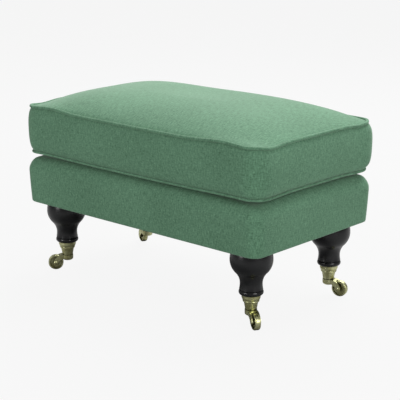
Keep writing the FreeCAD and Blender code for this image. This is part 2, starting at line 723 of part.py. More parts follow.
def leg_bolts():
    """A bolt from each leg up through its corner block, and the tee nut that it goes into."""
    bolts = []
    nuts = []
    block_top = "(%s + Size.block_height)" % RAIL_BOTTOM
    for corner, side_x, side_y in CORNERS:
        x = "%d * %s" % (side_x, LEG_X)
        y = "%d * %s" % (side_y, LEG_Y)
        bottom = "(%s - Size.bolt_in_leg)" % FLOOR_TO_BASE
        bolts.append(cylinder("bolt_" + corner, "Size.bolt_radius", "Size.bolt_length", x, y, bottom))
        nut = new_body("nut_" + corner)
        bore = "(Size.bolt_radius + Size.bolt_gap)"
        turn_profile(
            nut,
            "nut_" + corner,
            [
                (bore, "-Size.nut_depth", None),
                ("Size.nut_barrel", "-Size.nut_depth", None),
                ("Size.nut_barrel", "0", None),
                ("Size.nut_flange", "0", None),
                ("Size.nut_flange", "Size.nut_plate", None),
                (bore, "Size.nut_plate", None),
            ],
        )
        place(nut, x, y, block_top)
        nuts.append(nut)
    keep(group("leg_bolts", bolts), "leg_bolts")
    keep(group("tee_nuts", nuts), "tee_nuts")


def castor_cup(corner, x, y):
    """The brass cup that takes the end of the leg."""
    body = new_body("cup_body_" + corner)
    rim = "Size.castor_height"
    slope = "((Size.cup_rim_radius - Size.cup_end_radius) / Size.cup_height)"
    band_end = "(%s - Size.cup_band)" % rim
    ring_end = "(%s - Size.cup_ring)" % band_end
    inside = "(Size.cup_rim_radius - Size.cup_wall)"
    floor = "(%s + Size.cup_floor)" % CUP_BOTTOM
    bore = "(Size.pivot_radius + Size.axle_fit)"
    turn_profile(
        body,
        "cup_" + corner,
        [
            (bore, CUP_BOTTOM, None),
            ("Size.cup_end_radius", CUP_BOTTOM, None),
            (
                "Size.cup_rim_radius - %s * (Size.cup_band + Size.cup_ring) - Size.cup_step" % slope,
                ring_end,
                None,
            ),
            (
                "Size.cup_rim_radius - %s * (Size.cup_band + Size.cup_ring)" % slope,
                ring_end,
                ("Size.cup_ring * 0.62", -1),
            ),
            ("Size.cup_rim_radius - %s * Size.cup_band" % slope, band_end, None),
            ("Size.cup_rim_radius - %s * Size.cup_band + 0.5" % slope, band_end, None),
            ("Size.cup_rim_radius", "%s - Size.cup_band / 2" % rim, None),
            ("Size.cup_rim_radius", rim, None),
            (inside, rim, None),
            ("%s - %s * (Size.cup_height - Size.cup_floor)" % (inside, slope), floor, None),
            (bore, floor, None),
        ],
    )
    place(body, x, y)
    keep(body, "castor_cup_" + corner)


def cup_screws():
    """Two brass screws through each cup into the leg, on its inner side."""
    made = []
    for corner, side_x, side_y in CORNERS:
        for side in (-1, 1):
            name = "tack_%s_%d" % (corner, 1 + (side + 1) // 2)
            body = new_body(name)
            depth = "(Size.cup_rim_radius - Size.tack_length)"
            turn_profile(
                body,
                name,
                [
                    ("0", depth, None),
                    ("Size.tack_radius", depth, None),
                    ("Size.tack_radius", "Size.cup_rim_radius - Size.tack_head / 2", None),
                    ("Size.tack_head", "Size.cup_rim_radius + 0.2", None),
                    ("0", "Size.cup_rim_radius + 0.5", None),
                ],
            )
            inward = math.degrees(math.atan2(-side_y, -side_x))
            bearing = inward + side * value("Size.tack_bearing")
            lie = FreeCAD.Rotation(FreeCAD.Vector(0, 0, 1), bearing)
            tip = FreeCAD.Rotation(FreeCAD.Vector(0, 1, 0), 90)
            body.Placement = FreeCAD.Placement(FreeCAD.Vector(0, 0, 0), lie.multiply(tip))
            level = "Size.castor_height - Size.tack_level"
            place(body, "%d * %s" % (side_x, LEG_X), "%d * %s" % (side_y, LEG_Y), level)
            made.append(body)
    keep(group("cup_screws", made), "cup_screws")


def swivel_pin(corner, x, y):
    """The pin riveted through the cup and the horn."""
    body = new_body("pivot_body_" + corner)
    floor = "(%s + Size.cup_floor)" % CUP_BOTTOM
    rest = "(%s + Size.pivot_head_height)" % BOSS_BOTTOM
    cap = "(Size.pivot_head_height * 0.6)"
    head_edge = "(%s + Size.pivot_head_height * 0.2)" % BOSS_BOTTOM
    turn_profile(
        body,
        "pivot_" + corner,
        [
            ("0", "%s - %s" % (head_edge, cap), (dome_radius("Size.pivot_head", cap), -1)),
            ("Size.pivot_head", head_edge, None),
            ("Size.pivot_head", rest, None),
            ("Size.pivot_radius", rest, None),
            ("Size.pivot_radius", floor, None),
            ("Size.pivot_head", floor, None),
            ("Size.pivot_head", "%s + Size.pivot_head_height" % floor, None),
            ("0", "%s + Size.pivot_head_height" % floor, None),
        ],
    )
    place(body, x, y)
    keep(body, "swivel_pin_" + corner)


def swivel_washers():
    """A thin washer between each cup and its horn."""
    made = []
    for corner, side_x, side_y in CORNERS:
        body = new_body("washer_" + corner)
        bore = "(Size.pivot_radius + Size.pivot_gap)"
        bottom = "%s - Size.washer_height" % CUP_BOTTOM
        turn_profile(
            body,
            "washer_" + corner,
            [
                (bore, bottom, None),
                ("Size.washer_radius", bottom, None),
                ("Size.washer_radius", CUP_BOTTOM, None),
                (bore, CUP_BOTTOM, None),
            ],
        )
        place(body, "%d * %s" % (side_x, LEG_X), "%d * %s" % (side_y, LEG_Y))
        made.append(body)
    keep(group("swivel_washers", made), "swivel_washers")


def horn(corner, x, y, bearing):
    """The forked brass horn: a round boss with two arms that reach down to the wheel's axle."""
    body = new_body("horn_body_" + corner)
    turn_profile(
        body,
        "boss_" + corner,
        [
            ("0", BOSS_BOTTOM, None),
            ("Size.boss_radius - Size.boss_round", BOSS_BOTTOM, ("1.05 * Size.boss_round", -1)),
            ("Size.boss_radius", "%s + Size.boss_round" % BOSS_BOTTOM, None),
            ("Size.boss_radius", BOSS_TOP, None),
            ("0", BOSS_TOP, None),
        ],
    )
    side = new_sketch(body, "arms_side_" + corner, "XZ_Plane")
    outline(
        side,
        [
            ("0", BOSS_TOP, None),
            ("0", "%s - 10" % BOSS_TOP, None),
            ("10", "%s - 10" % BOSS_TOP, ("Size.arm_belly", 1)),
            (
                "Size.trail + Size.eye_radius * cos(240)",
                "Size.wheel_radius + Size.eye_radius * sin(240)",
                ("Size.eye_radius", -1),
            ),
            (
                "Size.trail + Size.eye_radius * cos(30)",
                "Size.wheel_radius + Size.eye_radius * sin(30)",
                ("Size.arm_back", -1),
            ),
            ("Size.boss_radius", BOSS_TOP, None),
        ],
    )
    pad(body, "arms_" + corner, side, FORK_WIDTH, midplane=True)
    slot = circle_sketch(
        body, "slot_side_" + corner, "XZ_Plane", "Size.trail", "Size.wheel_radius", "Size.wheel_radius + Size.slot_gap"
    )
    pocket(body, "slot_" + corner, slot, "Size.wheel_width + 2 * Size.wheel_gap")
    eye = circle_sketch(
        body, "eye_side_" + corner, "XZ_Plane", "Size.trail", "Size.wheel_radius", "Size.axle_radius + Size.axle_fit"
    )
    pocket(body, "eye_" + corner, eye, "2 * (%s)" % FORK_WIDTH)
    bore = circle_sketch(body, "pivot_bore_" + corner, "XY_Plane", "0", "0", "Size.pivot_radius + Size.pivot_gap", BOSS_TOP)
    pocket(body, "pivot_bore_cut_" + corner, bore, "4 * Size.boss_height")
    recess = circle_sketch(body, "recess_" + corner, "XY_Plane", "0", "0", "Size.pivot_head + 0.4", BOSS_BOTTOM)
    pocket(body, "recess_cut_" + corner, recess, "2 * (Size.pivot_head_height + Size.turning_gap)")
    place(body, x, y, "0", bearing)
    keep(body, "horn_" + corner)


def castor_axle(corner, x, y, bearing):
    """The riveted axle through both arms and the wheel."""
    body = new_body("axle_body_" + corner)
    half = "(%s / 2)" % FORK_WIDTH
    tip = "(%s + Size.axle_head_height)" % half
    dome = dome_radius("Size.axle_head", "Size.axle_head_height")
    turn_profile(
        body,
        "axle_" + corner,
        [
            ("0", "-%s" % tip, (dome, -1)),
            ("Size.axle_head", "-%s" % half, None),
            ("Size.axle_radius", "-%s" % half, None),
            ("Size.axle_radius", half, None),
            ("Size.axle_head", half, (dome, -1)),
            ("0", tip, None),
        ],
        role="XY_Plane",
    )
    place(body, x, y, "Size.wheel_radius", bearing)
    keep(body, "axle_" + corner)


def castor_wheel(corner, x, y, bearing):
    """The brass wheel: rim, thinner web and hub."""
    body = new_body("wheel_body_" + corner)
    half = "(Size.wheel_width / 2)"
    web = "(Size.wheel_web / 2)"
    bore = "(Size.axle_radius + Size.axle_gap)"
    inner = "(Size.wheel_radius - Size.wheel_rim)"
    shoulder = "(Size.wheel_radius - Size.wheel_crown)"
    flat = "(%s - 2 * Size.wheel_crown)" % half
    crown = "2.2 * Size.wheel_crown"
    turn_profile(
        body,
        "wheel_" + corner,
        [
            (bore, "-%s" % half, None),
            ("Size.hub_radius", "-%s" % half, None),
            ("Size.hub_radius", "-%s" % web, None),
            (inner, "-%s" % web, None),
            (inner, "-%s" % half, None),
            (shoulder, "-%s" % half, (crown, -1)),
            ("Size.wheel_radius", "-%s" % flat, None),
            ("Size.wheel_radius", flat, (crown, -1)),
            (shoulder, half, None),
            (inner, half, None),
            (inner, web, None),
            ("Size.hub_radius", web, None),
            ("Size.hub_radius", half, None),
            (bore, half, None),
        ],
        role="XY_Plane",
    )
    place(body, x, y, "Size.wheel_radius", bearing)
    keep(body, "wheel_" + corner)


def castor(corner, side_x, side_y):
    """One castor: cup and pin stay with the leg, the horn swivels, the wheel rolls."""
    x = "%d * %s" % (side_x, LEG_X)
    y = "%d * %s" % (side_y, LEG_Y)
    bearing = "Size.bearing_" + corner
    castor_cup(corner, x, y)
    swivel_pin(corner, x, y)
    horn(corner, x, y, bearing)
    wheel_x = "%s + Size.trail * cos(%s)" % (x, bearing)
    wheel_y = "%s + Size.trail * sin(%s)" % (y, bearing)
    castor_axle(corner, wheel_x, wheel_y, bearing)
    castor_wheel(corner, wheel_x, wheel_y, bearing)


def section(name, length, depth, radius, level):
    """A level outline of the cushion."""
    sketch = DOCUMENT.addObject("Sketcher::SketchObject", name)
    rounded_rectangle(sketch, length, depth, radius)
    bind(sketch, "Placement.Base.z", level)
    return sketch


def loft(name, sections):
    """A smooth solid through level outlines."""
    made = DOCUMENT.addObject("Part::Loft", name)
    made.Sections = sections
    made.Solid = True
    made.Ruled = False
    return made


def cushion_side(name, side_inset, bottom, top):
    """The upright part of the cushion, which swells between its seams."""
    length = "(Size.seam_length - 2 * (%s))" % side_inset
    depth = "(Size.seam_depth - 2 * (%s))" % side_inset
    radius = "(Size.cushion_corner - (%s))" % side_inset
    swell = "2 * Size.band_bulge"
    middle = section(
        name + "_middle",
        "%s + %s" % (length, swell),
        "%s + %s" % (depth, swell),
        "%s + Size.band_bulge" % radius,
        "((%s + %s) / 2)" % (bottom, top),
    )
    low = section(name + "_low", length, depth, radius, bottom)
    high = section(name + "_high", length, depth, radius, top)
    return loft(name, [low, middle, high])


# How fast the crown falls away towards the ends and towards the long sides
CROWN_POWER_ALONG = 4.4
CROWN_POWER_ACROSS = 3.6
CROWN_STEPS = 16


def crown_level(x, y):
    """Height of the crown above the edge of the top panel."""
    along = 1 - abs(2 * x / value("Size.seam_length")) ** CROWN_POWER_ALONG
    across = 1 - abs(2 * y / value("Size.seam_depth")) ** CROWN_POWER_ACROSS
    return value("Size.crown_height") * along * across


def under_crown(name, drop):
    """What lies below the crown, lowered by drop."""
    margin = 1.01
    half_x = value("Size.seam_length") / 2 * margin
    half_y = value("Size.seam_depth") / 2 * margin
    shares = [2 * n / CROWN_STEPS - 1 for n in range(CROWN_STEPS + 1)]
    base = value(UPPER_SEAM) + value("Size.crown_rim") - value(drop)
    rows = []
    for across in shares:
        y = across * half_y
        rows.append([FreeCAD.Vector(s * half_x, y, base + crown_level(s * half_x, y)) for s in shares])
    surface = Part.BSplineSurface()
    surface.interpolate(rows)
    made = DOCUMENT.addObject("Part::Feature", name)
    made.Shape = surface.toShape().extrude(FreeCAD.Vector(0, 0, -2 * value("Size.band_height")))
    return made


def plan_block(name, inset, bottom, height):
    """An upright block over the cushion's plan, moved in all round by inset."""
    body = new_body(name)
    sketch = new_sketch(body, name + "_outline", "XY_Plane", bottom)
    length = "Size.seam_length - 2 * (%s)" % inset
    depth = "Size.seam_depth - 2 * (%s)" % inset
    rounded_rectangle(sketch, length, depth, "Size.cushion_corner - (%s)" % inset)
    pad(body, name + "_pad", sketch, height)
    return body


def cushion_floor(name, side_inset, raised):
    """The cushion below its lower seam: it narrows to the part that rests on the deck."""
    sections = []
    for part, inset, level in (("rest", "Size.underside_edge", SEAT_BOTTOM), ("seam", "0", LOWER_SEAM)):
        sections.append(
            section(
                name + "_" + part,
                "(Size.seam_length - 2 * (%s + %s))" % (side_inset, inset),
                "(Size.seam_depth - 2 * (%s + %s))" % (side_inset, inset),
                "(Size.cushion_corner - (%s))" % side_inset,
                "(%s + (%s))" % (level, raised),
            )
        )
    return loft(name, sections)


def cushion_form(name, side_inset, bottom_inset, top_inset):
    """The cushion's form moved in: a band that swells between its seams, under a crown."""
    bottom = "(%s + (%s))" % (LOWER_SEAM, bottom_inset)
    top = "(%s - (%s))" % (UPPER_SEAM, top_inset)
    band = cushion_side(name + "_band", side_inset, bottom, top)
    floor = cushion_floor(name + "_floor", side_inset, bottom_inset)
    block = plan_block(name + "_block", side_inset, top, "2 * Size.crown_height")
    crown = common(name + "_crown", block, under_crown(name + "_under", top_inset))
    return fuse(name, [floor, band, crown])


def piping(name, level, radius, length="Size.seam_length", depth="Size.seam_depth"):
    """A cord round the cushion's plan at one level."""
    path = section(name + "_path", length, depth, "Size.cushion_corner", level)
    round_end = DOCUMENT.addObject("Sketcher::SketchObject", name + "_round")
    round_end.addGeometry(Part.Circle(flat_point(0, 0), FreeCAD.Vector(0, 0, 1), value(radius)), False)
    round_end.addConstraint(Sketcher.Constraint("Coincident", 0, 3, -1, 1))
    index = round_end.addConstraint(Sketcher.Constraint("Radius", 0, value(radius)))
    bind(round_end, "Constraints[%d]" % index, radius)
    facing = FreeCAD.Rotation(FreeCAD.Vector(0, 1, 0), 90)
    round_end.Placement = FreeCAD.Placement(FreeCAD.Vector(0, 0, 0), facing)
    place(round_end, "-(%s) / 2 + Size.cushion_corner" % length, "-(%s) / 2" % depth, level)
    made = DOCUMENT.addObject("Part::Sweep", name)
    made.Sections = [round_end]
    made.Spine = (path, [])
    made.Solid = True
    made.Frenet = False
    return made


def cushion():
    """The loose cushion: cloth panels, piping, zip, feather wrap and foam core."""
    fat = "Size.piping_radius + Size.soft_gap"
    upper_groove = piping("upper_groove", UPPER_SEAM, fat)
    lower_groove = piping("lower_groove", LOWER_SEAM, fat)
    keep(piping("upper_cord", UPPER_SEAM, "Size.piping_radius"), "piping_upper")
    keep(piping("lower_cord", LOWER_SEAM, "Size.piping_radius"), "piping_lower")
    over_seam = plan_block("over_seam", "0", UPPER_SEAM, "2 * Size.crown_height")
    crown = common("crown", over_seam, under_crown("crown_outside", "0"))
    skin = cut("crown_skin", crown, under_crown("crown_inside", "Size.cloth"))
    keep(cut("top_panel", skin, upper_groove), "cushion_top_panel")
    floor = cut("floor_skin", cushion_floor("floor_outside", "0", "0"), cushion_floor("floor_inside", "0", "Size.cloth"))
    keep(cut("bottom_panel", floor, lower_groove), "cushion_bottom_panel")
    grooves = fuse("both_grooves", [upper_groove, lower_groove])
    band_out = cushion_side("band_outside", "0", LOWER_SEAM, UPPER_SEAM)
    band_in = cushion_side("band_inside", "Size.cloth", LOWER_SEAM, UPPER_SEAM)
    band = cut("band_blank", cut("band_hollow", band_out, band_in), grooves)
    slot = box(
        "zip_gap",
        "Size.zip_length + Size.slider_length",
        "4 * Size.wrap_side_gap",
        "Size.zip_slot",
        "0",
        "Size.seam_depth / 2",
        "%s + Size.zip_level - Size.zip_slot / 2" % LOWER_SEAM,
    )
    keep(cut("band", band, slot), "cushion_band")
    deep_side = "(Size.wrap_side_gap + Size.wrap_thickness)"
    near = "(Size.cloth + Size.soft_gap)"
    deep = "(%s + Size.wrap_thickness)" % near
    wrap_out = cushion_form("wrap_outside", "Size.wrap_side_gap", near, "(Size.cloth + Size.wrap_gap)")
    wrap_in = cushion_form("wrap_inside", deep_side, deep, deep)
    keep(cut("wrap", wrap_out, wrap_in), "cushion_wrap")
    core_side = "(%s + 2 * Size.soft_gap)" % deep_side
    core_low = "(%s + Size.soft_gap)" % deep
    core_high = "(%s + Size.wrap_gap)" % deep
    keep(cushion_form("core", core_side, core_low, core_high), "cushion_core")


# Outside of the back band at the height of the zip
ZIP_LEVEL = "(%s + Size.zip_level)" % LOWER_SEAM
BAND_MIDDLE = "((%s + %s) / 2)" % (LOWER_SEAM, UPPER_SEAM)
BAND_HALF = "(Size.band_height / 2)"
ZIP_OFF_MIDDLE = "((%s - %s) / %s)" % (BAND_MIDDLE, ZIP_LEVEL, BAND_HALF)
BAND_BACK = "(Size.seam_depth / 2 + Size.band_bulge * (1 - %s * %s))" % (ZIP_OFF_MIDDLE, ZIP_OFF_MIDDLE)


def zip_parts():
    """The zip in the back band: tape, teeth, slider and pull tab."""
    tape_back = "(%s - Size.cloth - Size.tape_set)" % BAND_BACK
    keep(
        box(
            "tape",
            "Size.zip_length + Size.slider_length",
            "Size.tape_thickness",
            "Size.tape_height",
            "0",
            "%s - Size.tape_thickness / 2" % tape_back,
            "%s - Size.tape_height / 2" % ZIP_LEVEL,
        ),
        "zip_tape",
    )
    chain_depth = "(%s - %s)" % (BAND_BACK, tape_back)
    keep(
        box(
            "chain",
            "Size.zip_length",
            chain_depth,
            "Size.chain_height",
            "0",
            "%s + %s / 2" % (tape_back, chain_depth),
            "%s - Size.chain_height / 2" % ZIP_LEVEL,
        ),
        "zip_chain",
    )
    slider_x = "(-Size.zip_length / 2 + Size.slider_length / 2)"
    plate_y = "(%s + Size.lift_clear)" % BAND_BACK
    arch_y = "(%s + Size.slider_plate + Size.arch_height)" % plate_y
    plate = box(
        "slider_plate",
        "Size.slider_length",
        "Size.slider_plate",
        "Size.slider_height",
        slider_x,
        "%s + Size.slider_plate / 2" % plate_y,
        "%s - Size.slider_height / 2" % ZIP_LEVEL,
    )
    pieces = [plate]
    bar = "Size.arch_bar"
    arch_z = "%s - Size.arch_width / 2" % ZIP_LEVEL
    pieces.append(
        box(
            "slider_arch",
            "Size.arch_length + 2 * Size.arch_bar",
            bar,
            "Size.arch_width",
            slider_x,
            "%s + Size.arch_bar / 2" % arch_y,
            arch_z,
        )
    )
    for side in (-1, 1):
        post_x = "%s + %d * (Size.arch_length + Size.arch_bar) / 2" % (slider_x, side)
        post_depth = "(Size.arch_height + Size.arch_bar)"
        post_y = "%s + Size.slider_plate + %s / 2" % (plate_y, post_depth)
        pieces.append(box("slider_post_%d" % (side + 1), bar, post_depth, "Size.arch_width", post_x, post_y, arch_z))
    keep(fuse("slider", pieces), "zip_slider")
    eye_y = "(%s + Size.slider_plate + Size.arch_height / 2)" % plate_y
    eye_radius = "(Size.arch_height / 2 - 0.12)"
    tab_thick = "(1.4 * %s)" % eye_radius
    blank = box(
        "tab_blank",
        "Size.tab_length",
        tab_thick,
        "Size.tab_width",
        "%s + Size.tab_length / 2" % slider_x,
        eye_y,
        "%s - Size.tab_width / 2" % ZIP_LEVEL,
    )
    eye_hole = box(
        "tab_hole",
        "Size.tab_eye",
        "4 * %s" % tab_thick,
        "Size.arch_width + 1.2",
        "%s + Size.tab_eye / 2" % slider_x,
        eye_y,
        "%s - Size.arch_width / 2 - 0.6" % ZIP_LEVEL,
    )
    pin = cylinder("tab_pin", eye_radius, "Size.tab_width", slider_x, eye_y, "%s - Size.tab_width / 2" % ZIP_LEVEL)
    keep(fuse("tab", [cut("tab_plate", blank, eye_hole), pin]), "zip_pull")


def check_document():
    """Stops if anything failed to build, and names it."""
    DOCUMENT.recompute()
    for thing in DOCUMENT.Objects:
        if "Invalid" in thing.State or "Error" in thing.State:
            raise RuntimeError("%s did not build: %s" % (thing.Label, thing.State))
    for thing in EXPORTS:
        shape = thing.Shape
        if shape.isNull() or not shape.isValid() or not shape.Solids:
            raise RuntimeError("%s has no sound solid" % thing.Label)


def write_parts():
    """Writes each sub-part to its own file."""
    os.makedirs("parts", exist_ok=True)
    for thing in EXPORTS:
        thing.Shape.exportStep("parts/%s.step" % thing.Label)
        count = len(thing.Shape.Solids)
        print("%-28s solids %2d  volume %12.1f mm3" % (thing.Label, count, thing.Shape.Volume))


rails()
for name, side_x, side_y in CORNERS:
    corner_block(name, side_x, side_y)
block_screws()
webbing()
deck_pad()
base_wadding()
base_cover()
bottom_cloth()
for name, side_x, side_y in CORNERS:
    leg(name, side_x, side_y)
leg_bolts()
for name, side_x, side_y in CORNERS:
    castor(name, side_x, side_y)
cup_screws()
swivel_washers()
cushion()
zip_parts()
check_document()
write_parts()
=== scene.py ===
# %% [markdown]
# # A piped footstool on brass castors
#
# The hard parts of this stool come ready made and in place: the turned legs, the castors, the zip
# and the wooden frame inside. This lesson gives them their finish, and models the two soft parts
# that nobody would draw with straight lines: the upholstered base and the loose cushion on it.
# Everything is in metres. The front looks towards -Y, the length runs along X, and Z is up.

# %% Load the hard parts
import math

import bpy
import numpy as np
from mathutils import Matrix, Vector


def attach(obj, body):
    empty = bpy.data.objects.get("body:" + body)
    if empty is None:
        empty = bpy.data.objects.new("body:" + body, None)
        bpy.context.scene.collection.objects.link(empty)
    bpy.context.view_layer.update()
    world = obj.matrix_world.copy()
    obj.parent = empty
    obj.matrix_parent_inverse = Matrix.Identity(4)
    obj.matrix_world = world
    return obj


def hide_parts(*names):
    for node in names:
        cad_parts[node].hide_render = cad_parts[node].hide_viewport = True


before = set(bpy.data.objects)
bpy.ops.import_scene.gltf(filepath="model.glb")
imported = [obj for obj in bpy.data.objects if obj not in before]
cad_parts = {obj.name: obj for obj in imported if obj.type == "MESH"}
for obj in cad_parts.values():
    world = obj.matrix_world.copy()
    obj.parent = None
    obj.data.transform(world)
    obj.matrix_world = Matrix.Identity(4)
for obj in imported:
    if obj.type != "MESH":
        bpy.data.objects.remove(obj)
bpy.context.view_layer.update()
print(len(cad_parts), "parts in place")

# %% [markdown]
# ## Camera
#
# The picture is taken from the right-hand front corner, a little above the cushion, with a long
# lens, so that parallel edges stay nearly parallel. The camera is aimed at a point in the middle
# of the stool and stands off from it along a direction given by two angles. The small shift
# places the stool in the frame without turning the camera.

# %% Camera
AIM = Vector((0, 0, 0.2124))
TURN = math.radians(42.286)
RISE = math.radians(14.747)
STAND_OFF = 2.9275

away = Vector((math.sin(TURN) * math.cos(RISE), -math.cos(TURN) * math.cos(RISE), math.sin(RISE)))
bpy.ops.object.camera_add(location=AIM + away * STAND_OFF, rotation=(math.pi / 2 - RISE, 0, TURN))
camera = bpy.context.object
camera.data.lens = 114.17
camera.data.sensor_width = 36
camera.data.shift_x = 0.01455
camera.data.shift_y = -0.01685
camera.data.clip_end = 60
bpy.context.scene.camera = camera
print("camera stands at", [round(v, 3) for v in camera.location])

# %% [markdown]
# ## Colours and nodes
#
# Colours are written as the hex codes that a colour picker shows, and shaders count in linear
# light, so one function turns the first into the second. Others add a shader node with what feeds
# its sockets, a noise that is stretched, and a ramp between two colours, so that each material
# below reads as a short list.

# %% Colour and node helpers
def linear(code):
    """A hex colour as linear red, green, blue and alpha."""
    shares = [int(code[i:i + 2], 16) / 255 for i in (1, 3, 5)]
    return [s / 12.92 if s <= 0.04045 else ((s + 0.055) / 1.055) ** 2.4 for s in shares] + [1.0]


def add_node(tree, kind, feeds=None, **settings):
    """Adds a node. feeds maps a socket's name or number to a value or to the socket behind it."""
    node = tree.nodes.new(kind)
    for name, setting in settings.items():
        setattr(node, name, setting)
    for socket, feed in (feeds or {}).items():
        if isinstance(feed, bpy.types.NodeSocket):
            tree.links.new(feed, node.inputs[socket])
        else:
            node.inputs[socket].default_value = feed
    return node


def new_material(name, **finish):
    """A material with its shader, which starts from the finish given."""
    material = bpy.data.materials.new(name)
    material.use_nodes = True
    tree = material.node_tree
    shader = tree.nodes["Principled BSDF"]
    for socket, setting in finish.items():
        shader.inputs[socket.replace("_", " ")].default_value = setting
    return material, tree, shader


def stretched_noise(tree, place, sizes, detail):
    """Noise whose patches have these sizes in metres along the three axes."""
    scale = tuple(1 / size for size in sizes)
    spread = add_node(tree, "ShaderNodeMapping", {"Vector": place, "Scale": scale}).outputs[0]
    feeds = {"Vector": spread, "Scale": 1.0, "Detail": detail}
    return add_node(tree, "ShaderNodeTexNoise", feeds).outputs[0]


def two_tone(tree, value, positions, colours):
    """A ramp from one colour to another between two positions."""
    ramp = add_node(tree, "ShaderNodeValToRGB", {0: value})
    for stop, position, colour in zip(ramp.color_ramp.elements, positions, colours):
        stop.position = position
        stop.color = linear(colour)
    return ramp.outputs[0]


print("green of the cloth in linear light:", [round(v, 3) for v in linear("#5f8a6b")])

# %% [markdown]
# ## Floor and light
#
# A photographer's table: a plain pale floor and broad soft lamps. Most light comes from a big
# panel overhead, a little towards the back, which is why the cushion's top is so much paler than
# its sides. A weaker panel on the right lifts the short side above the long one, and a low one in
# front gives the legs their streak of light. The paper also glows a little, so that it stays an
# even white, and it is clear from below, so that the underside can be looked at.

# %% Floor
SEEN_GLOW = 0.94         # how much of what the camera sees of the paper is glow
GLOW_STRENGTH = 1.045
FLOOR_SIZE = 60

bpy.ops.object.select_all(action="DESELECT")
bpy.ops.mesh.primitive_plane_add(size=FLOOR_SIZE)
floor = bpy.context.object
floor.name = "floor"
paper, tree, shader = new_material("white_paper", Base_Color=linear("#b4b4b4"), Roughness=0.9)
shader.inputs["Specular IOR Level"].default_value = 0.1
bright = {"Color": linear("#f6f6f6"), "Strength": GLOW_STRENGTH}
glow = add_node(tree, "ShaderNodeEmission", bright).outputs[0]
seen = add_node(tree, "ShaderNodeLightPath").outputs["Is Camera Ray"]
share = add_node(tree, "ShaderNodeMath", {0: seen, 1: SEEN_GLOW}, operation="MULTIPLY").outputs[0]
mixed = add_node(tree, "ShaderNodeMixShader", {0: share, 1: shader.outputs[0], 2: glow}).outputs[0]
below = add_node(tree, "ShaderNodeNewGeometry").outputs["Backfacing"]
clear = add_node(tree, "ShaderNodeBsdfTransparent").outputs[0]
one_sided = add_node(tree, "ShaderNodeMixShader", {0: below, 1: mixed, 2: clear}).outputs[0]
tree.links.new(one_sided, tree.nodes["Material Output"].inputs["Surface"])
floor.data.materials.append(paper)
print("floor:", FLOOR_SIZE, "m wide")

# %% Lamps
def soft_lamp(name, place, size, watts):
    """A square lamp that points at the stool."""
    bpy.ops.object.light_add(type="AREA", location=place)
    lamp = bpy.context.object
    lamp.name = name
    lamp.data.shape = "SQUARE"
    lamp.data.size = size
    lamp.data.energy = watts
    lamp.rotation_euler = (AIM - Vector(place)).to_track_quat("-Z", "Y").to_euler()
    return lamp


ROOM_LIGHT = 0.32        # what the walls of the room give back

soft_lamp("overhead_lamp", (-0.4, 1.6, 2.6), 2.6, 126)
soft_lamp("right_lamp", (2.7, -0.6, 1.2), 1.2, 25)
soft_lamp("front_lamp", (-0.6, -3.0, 0.9), 1.0, 22.3)

world = bpy.data.worlds.new("studio")
world.use_nodes = True
background = world.node_tree.nodes["Background"]
background.inputs["Color"].default_value = linear("#f4f4f4")
background.inputs["Strength"].default_value = ROOM_LIGHT
bpy.context.scene.world = world
bpy.context.scene.view_settings.view_transform = "Standard"

# %% [markdown]
# ## Cloth
#
# The cover is a green linen-look cloth in plain weave, yarn-dyed in two close shades, with
# thicker slubs here and there. Close up the eye sees a grid of threads; from where the camera
# stands it sees a fine mottle with faint upright streaks. The pattern is drawn on a map that is
# laid out in metres on each panel, so that threads keep one size everywhere and run along the
# panel's edges. The fuzz on the yarn scatters light at grazing angles, which is the sheen.

# %% Cloth
THREAD = 0.0011          # spacing of the threads
SLUB_WIDTH = 0.0026      # a thick place in a thread, across and along
SLUB_LENGTH = 0.015
MOTTLE = 0.0036          # size of the fine mottle
DRIFT = 0.15             # slow change of shade across a panel
YARNS = ("#466b52", "#78a586")


def linen(name, coordinates):
    """Green linen-look cloth. coordinates is the name of a map, or None for a piece without one."""
    material, tree, shader = new_material(name, Roughness=0.92)
    shader.inputs["Specular IOR Level"].default_value = 0.18
    shader.inputs["Sheen Weight"].default_value = 0.40
    shader.inputs["Sheen Roughness"].default_value = 0.42
    shader.inputs["Sheen Tint"].default_value = linear("#e3f2e4")
    if coordinates:
        place = add_node(tree, "ShaderNodeUVMap", uv_map=coordinates).outputs["UV"]
    else:
        place = add_node(tree, "ShaderNodeTexCoord").outputs["Object"]

    def yarn(along, across):
        """Noise that is stretched into streaks of one length and width."""
        return stretched_noise(tree, place, (along, across, 1 if coordinates else across), 1.5)

    def speckle(size, detail):
        """Noise without a direction."""
        feeds = {"Vector": place, "Scale": 1 / size, "Detail": detail}
        return add_node(tree, "ShaderNodeTexNoise", feeds).outputs[0]

    def mix(first, second, share):
        """A share of the second value in the first."""
        kind = {"data_type": "FLOAT", "clamp_factor": True}
        return add_node(tree, "ShaderNodeMix", {0: share, 2: first, 3: second}, **kind).outputs[0]

    # Threads run both ways in equal parts. Slubs show mostly in the upright ones.
    threads = mix(yarn(6 * THREAD, THREAD), yarn(THREAD, 8 * THREAD), 0.5)
    slubs = mix(yarn(SLUB_LENGTH, SLUB_WIDTH), yarn(SLUB_WIDTH, SLUB_LENGTH), 0.66)
    fine = mix(threads, speckle(MOTTLE, 3.0), 0.4)
    woven = mix(fine, slubs, 0.34)
    shade = mix(woven, speckle(DRIFT, 1.0), 0.08)
    tree.links.new(two_tone(tree, shade, (0.38, 0.62), YARNS), shader.inputs["Base Color"])
    bump = add_node(tree, "ShaderNodeBump", {"Height": fine, "Strength": 0.35, "Distance": 0.0006})
    tree.links.new(bump.outputs[0], shader.inputs["Normal"])
    return material


cover_linen = linen("yarn_dyed_linen", "cloth")
cord_linen = linen("bias_cut_linen", None)
print("threads every", THREAD * 1000, "mm")

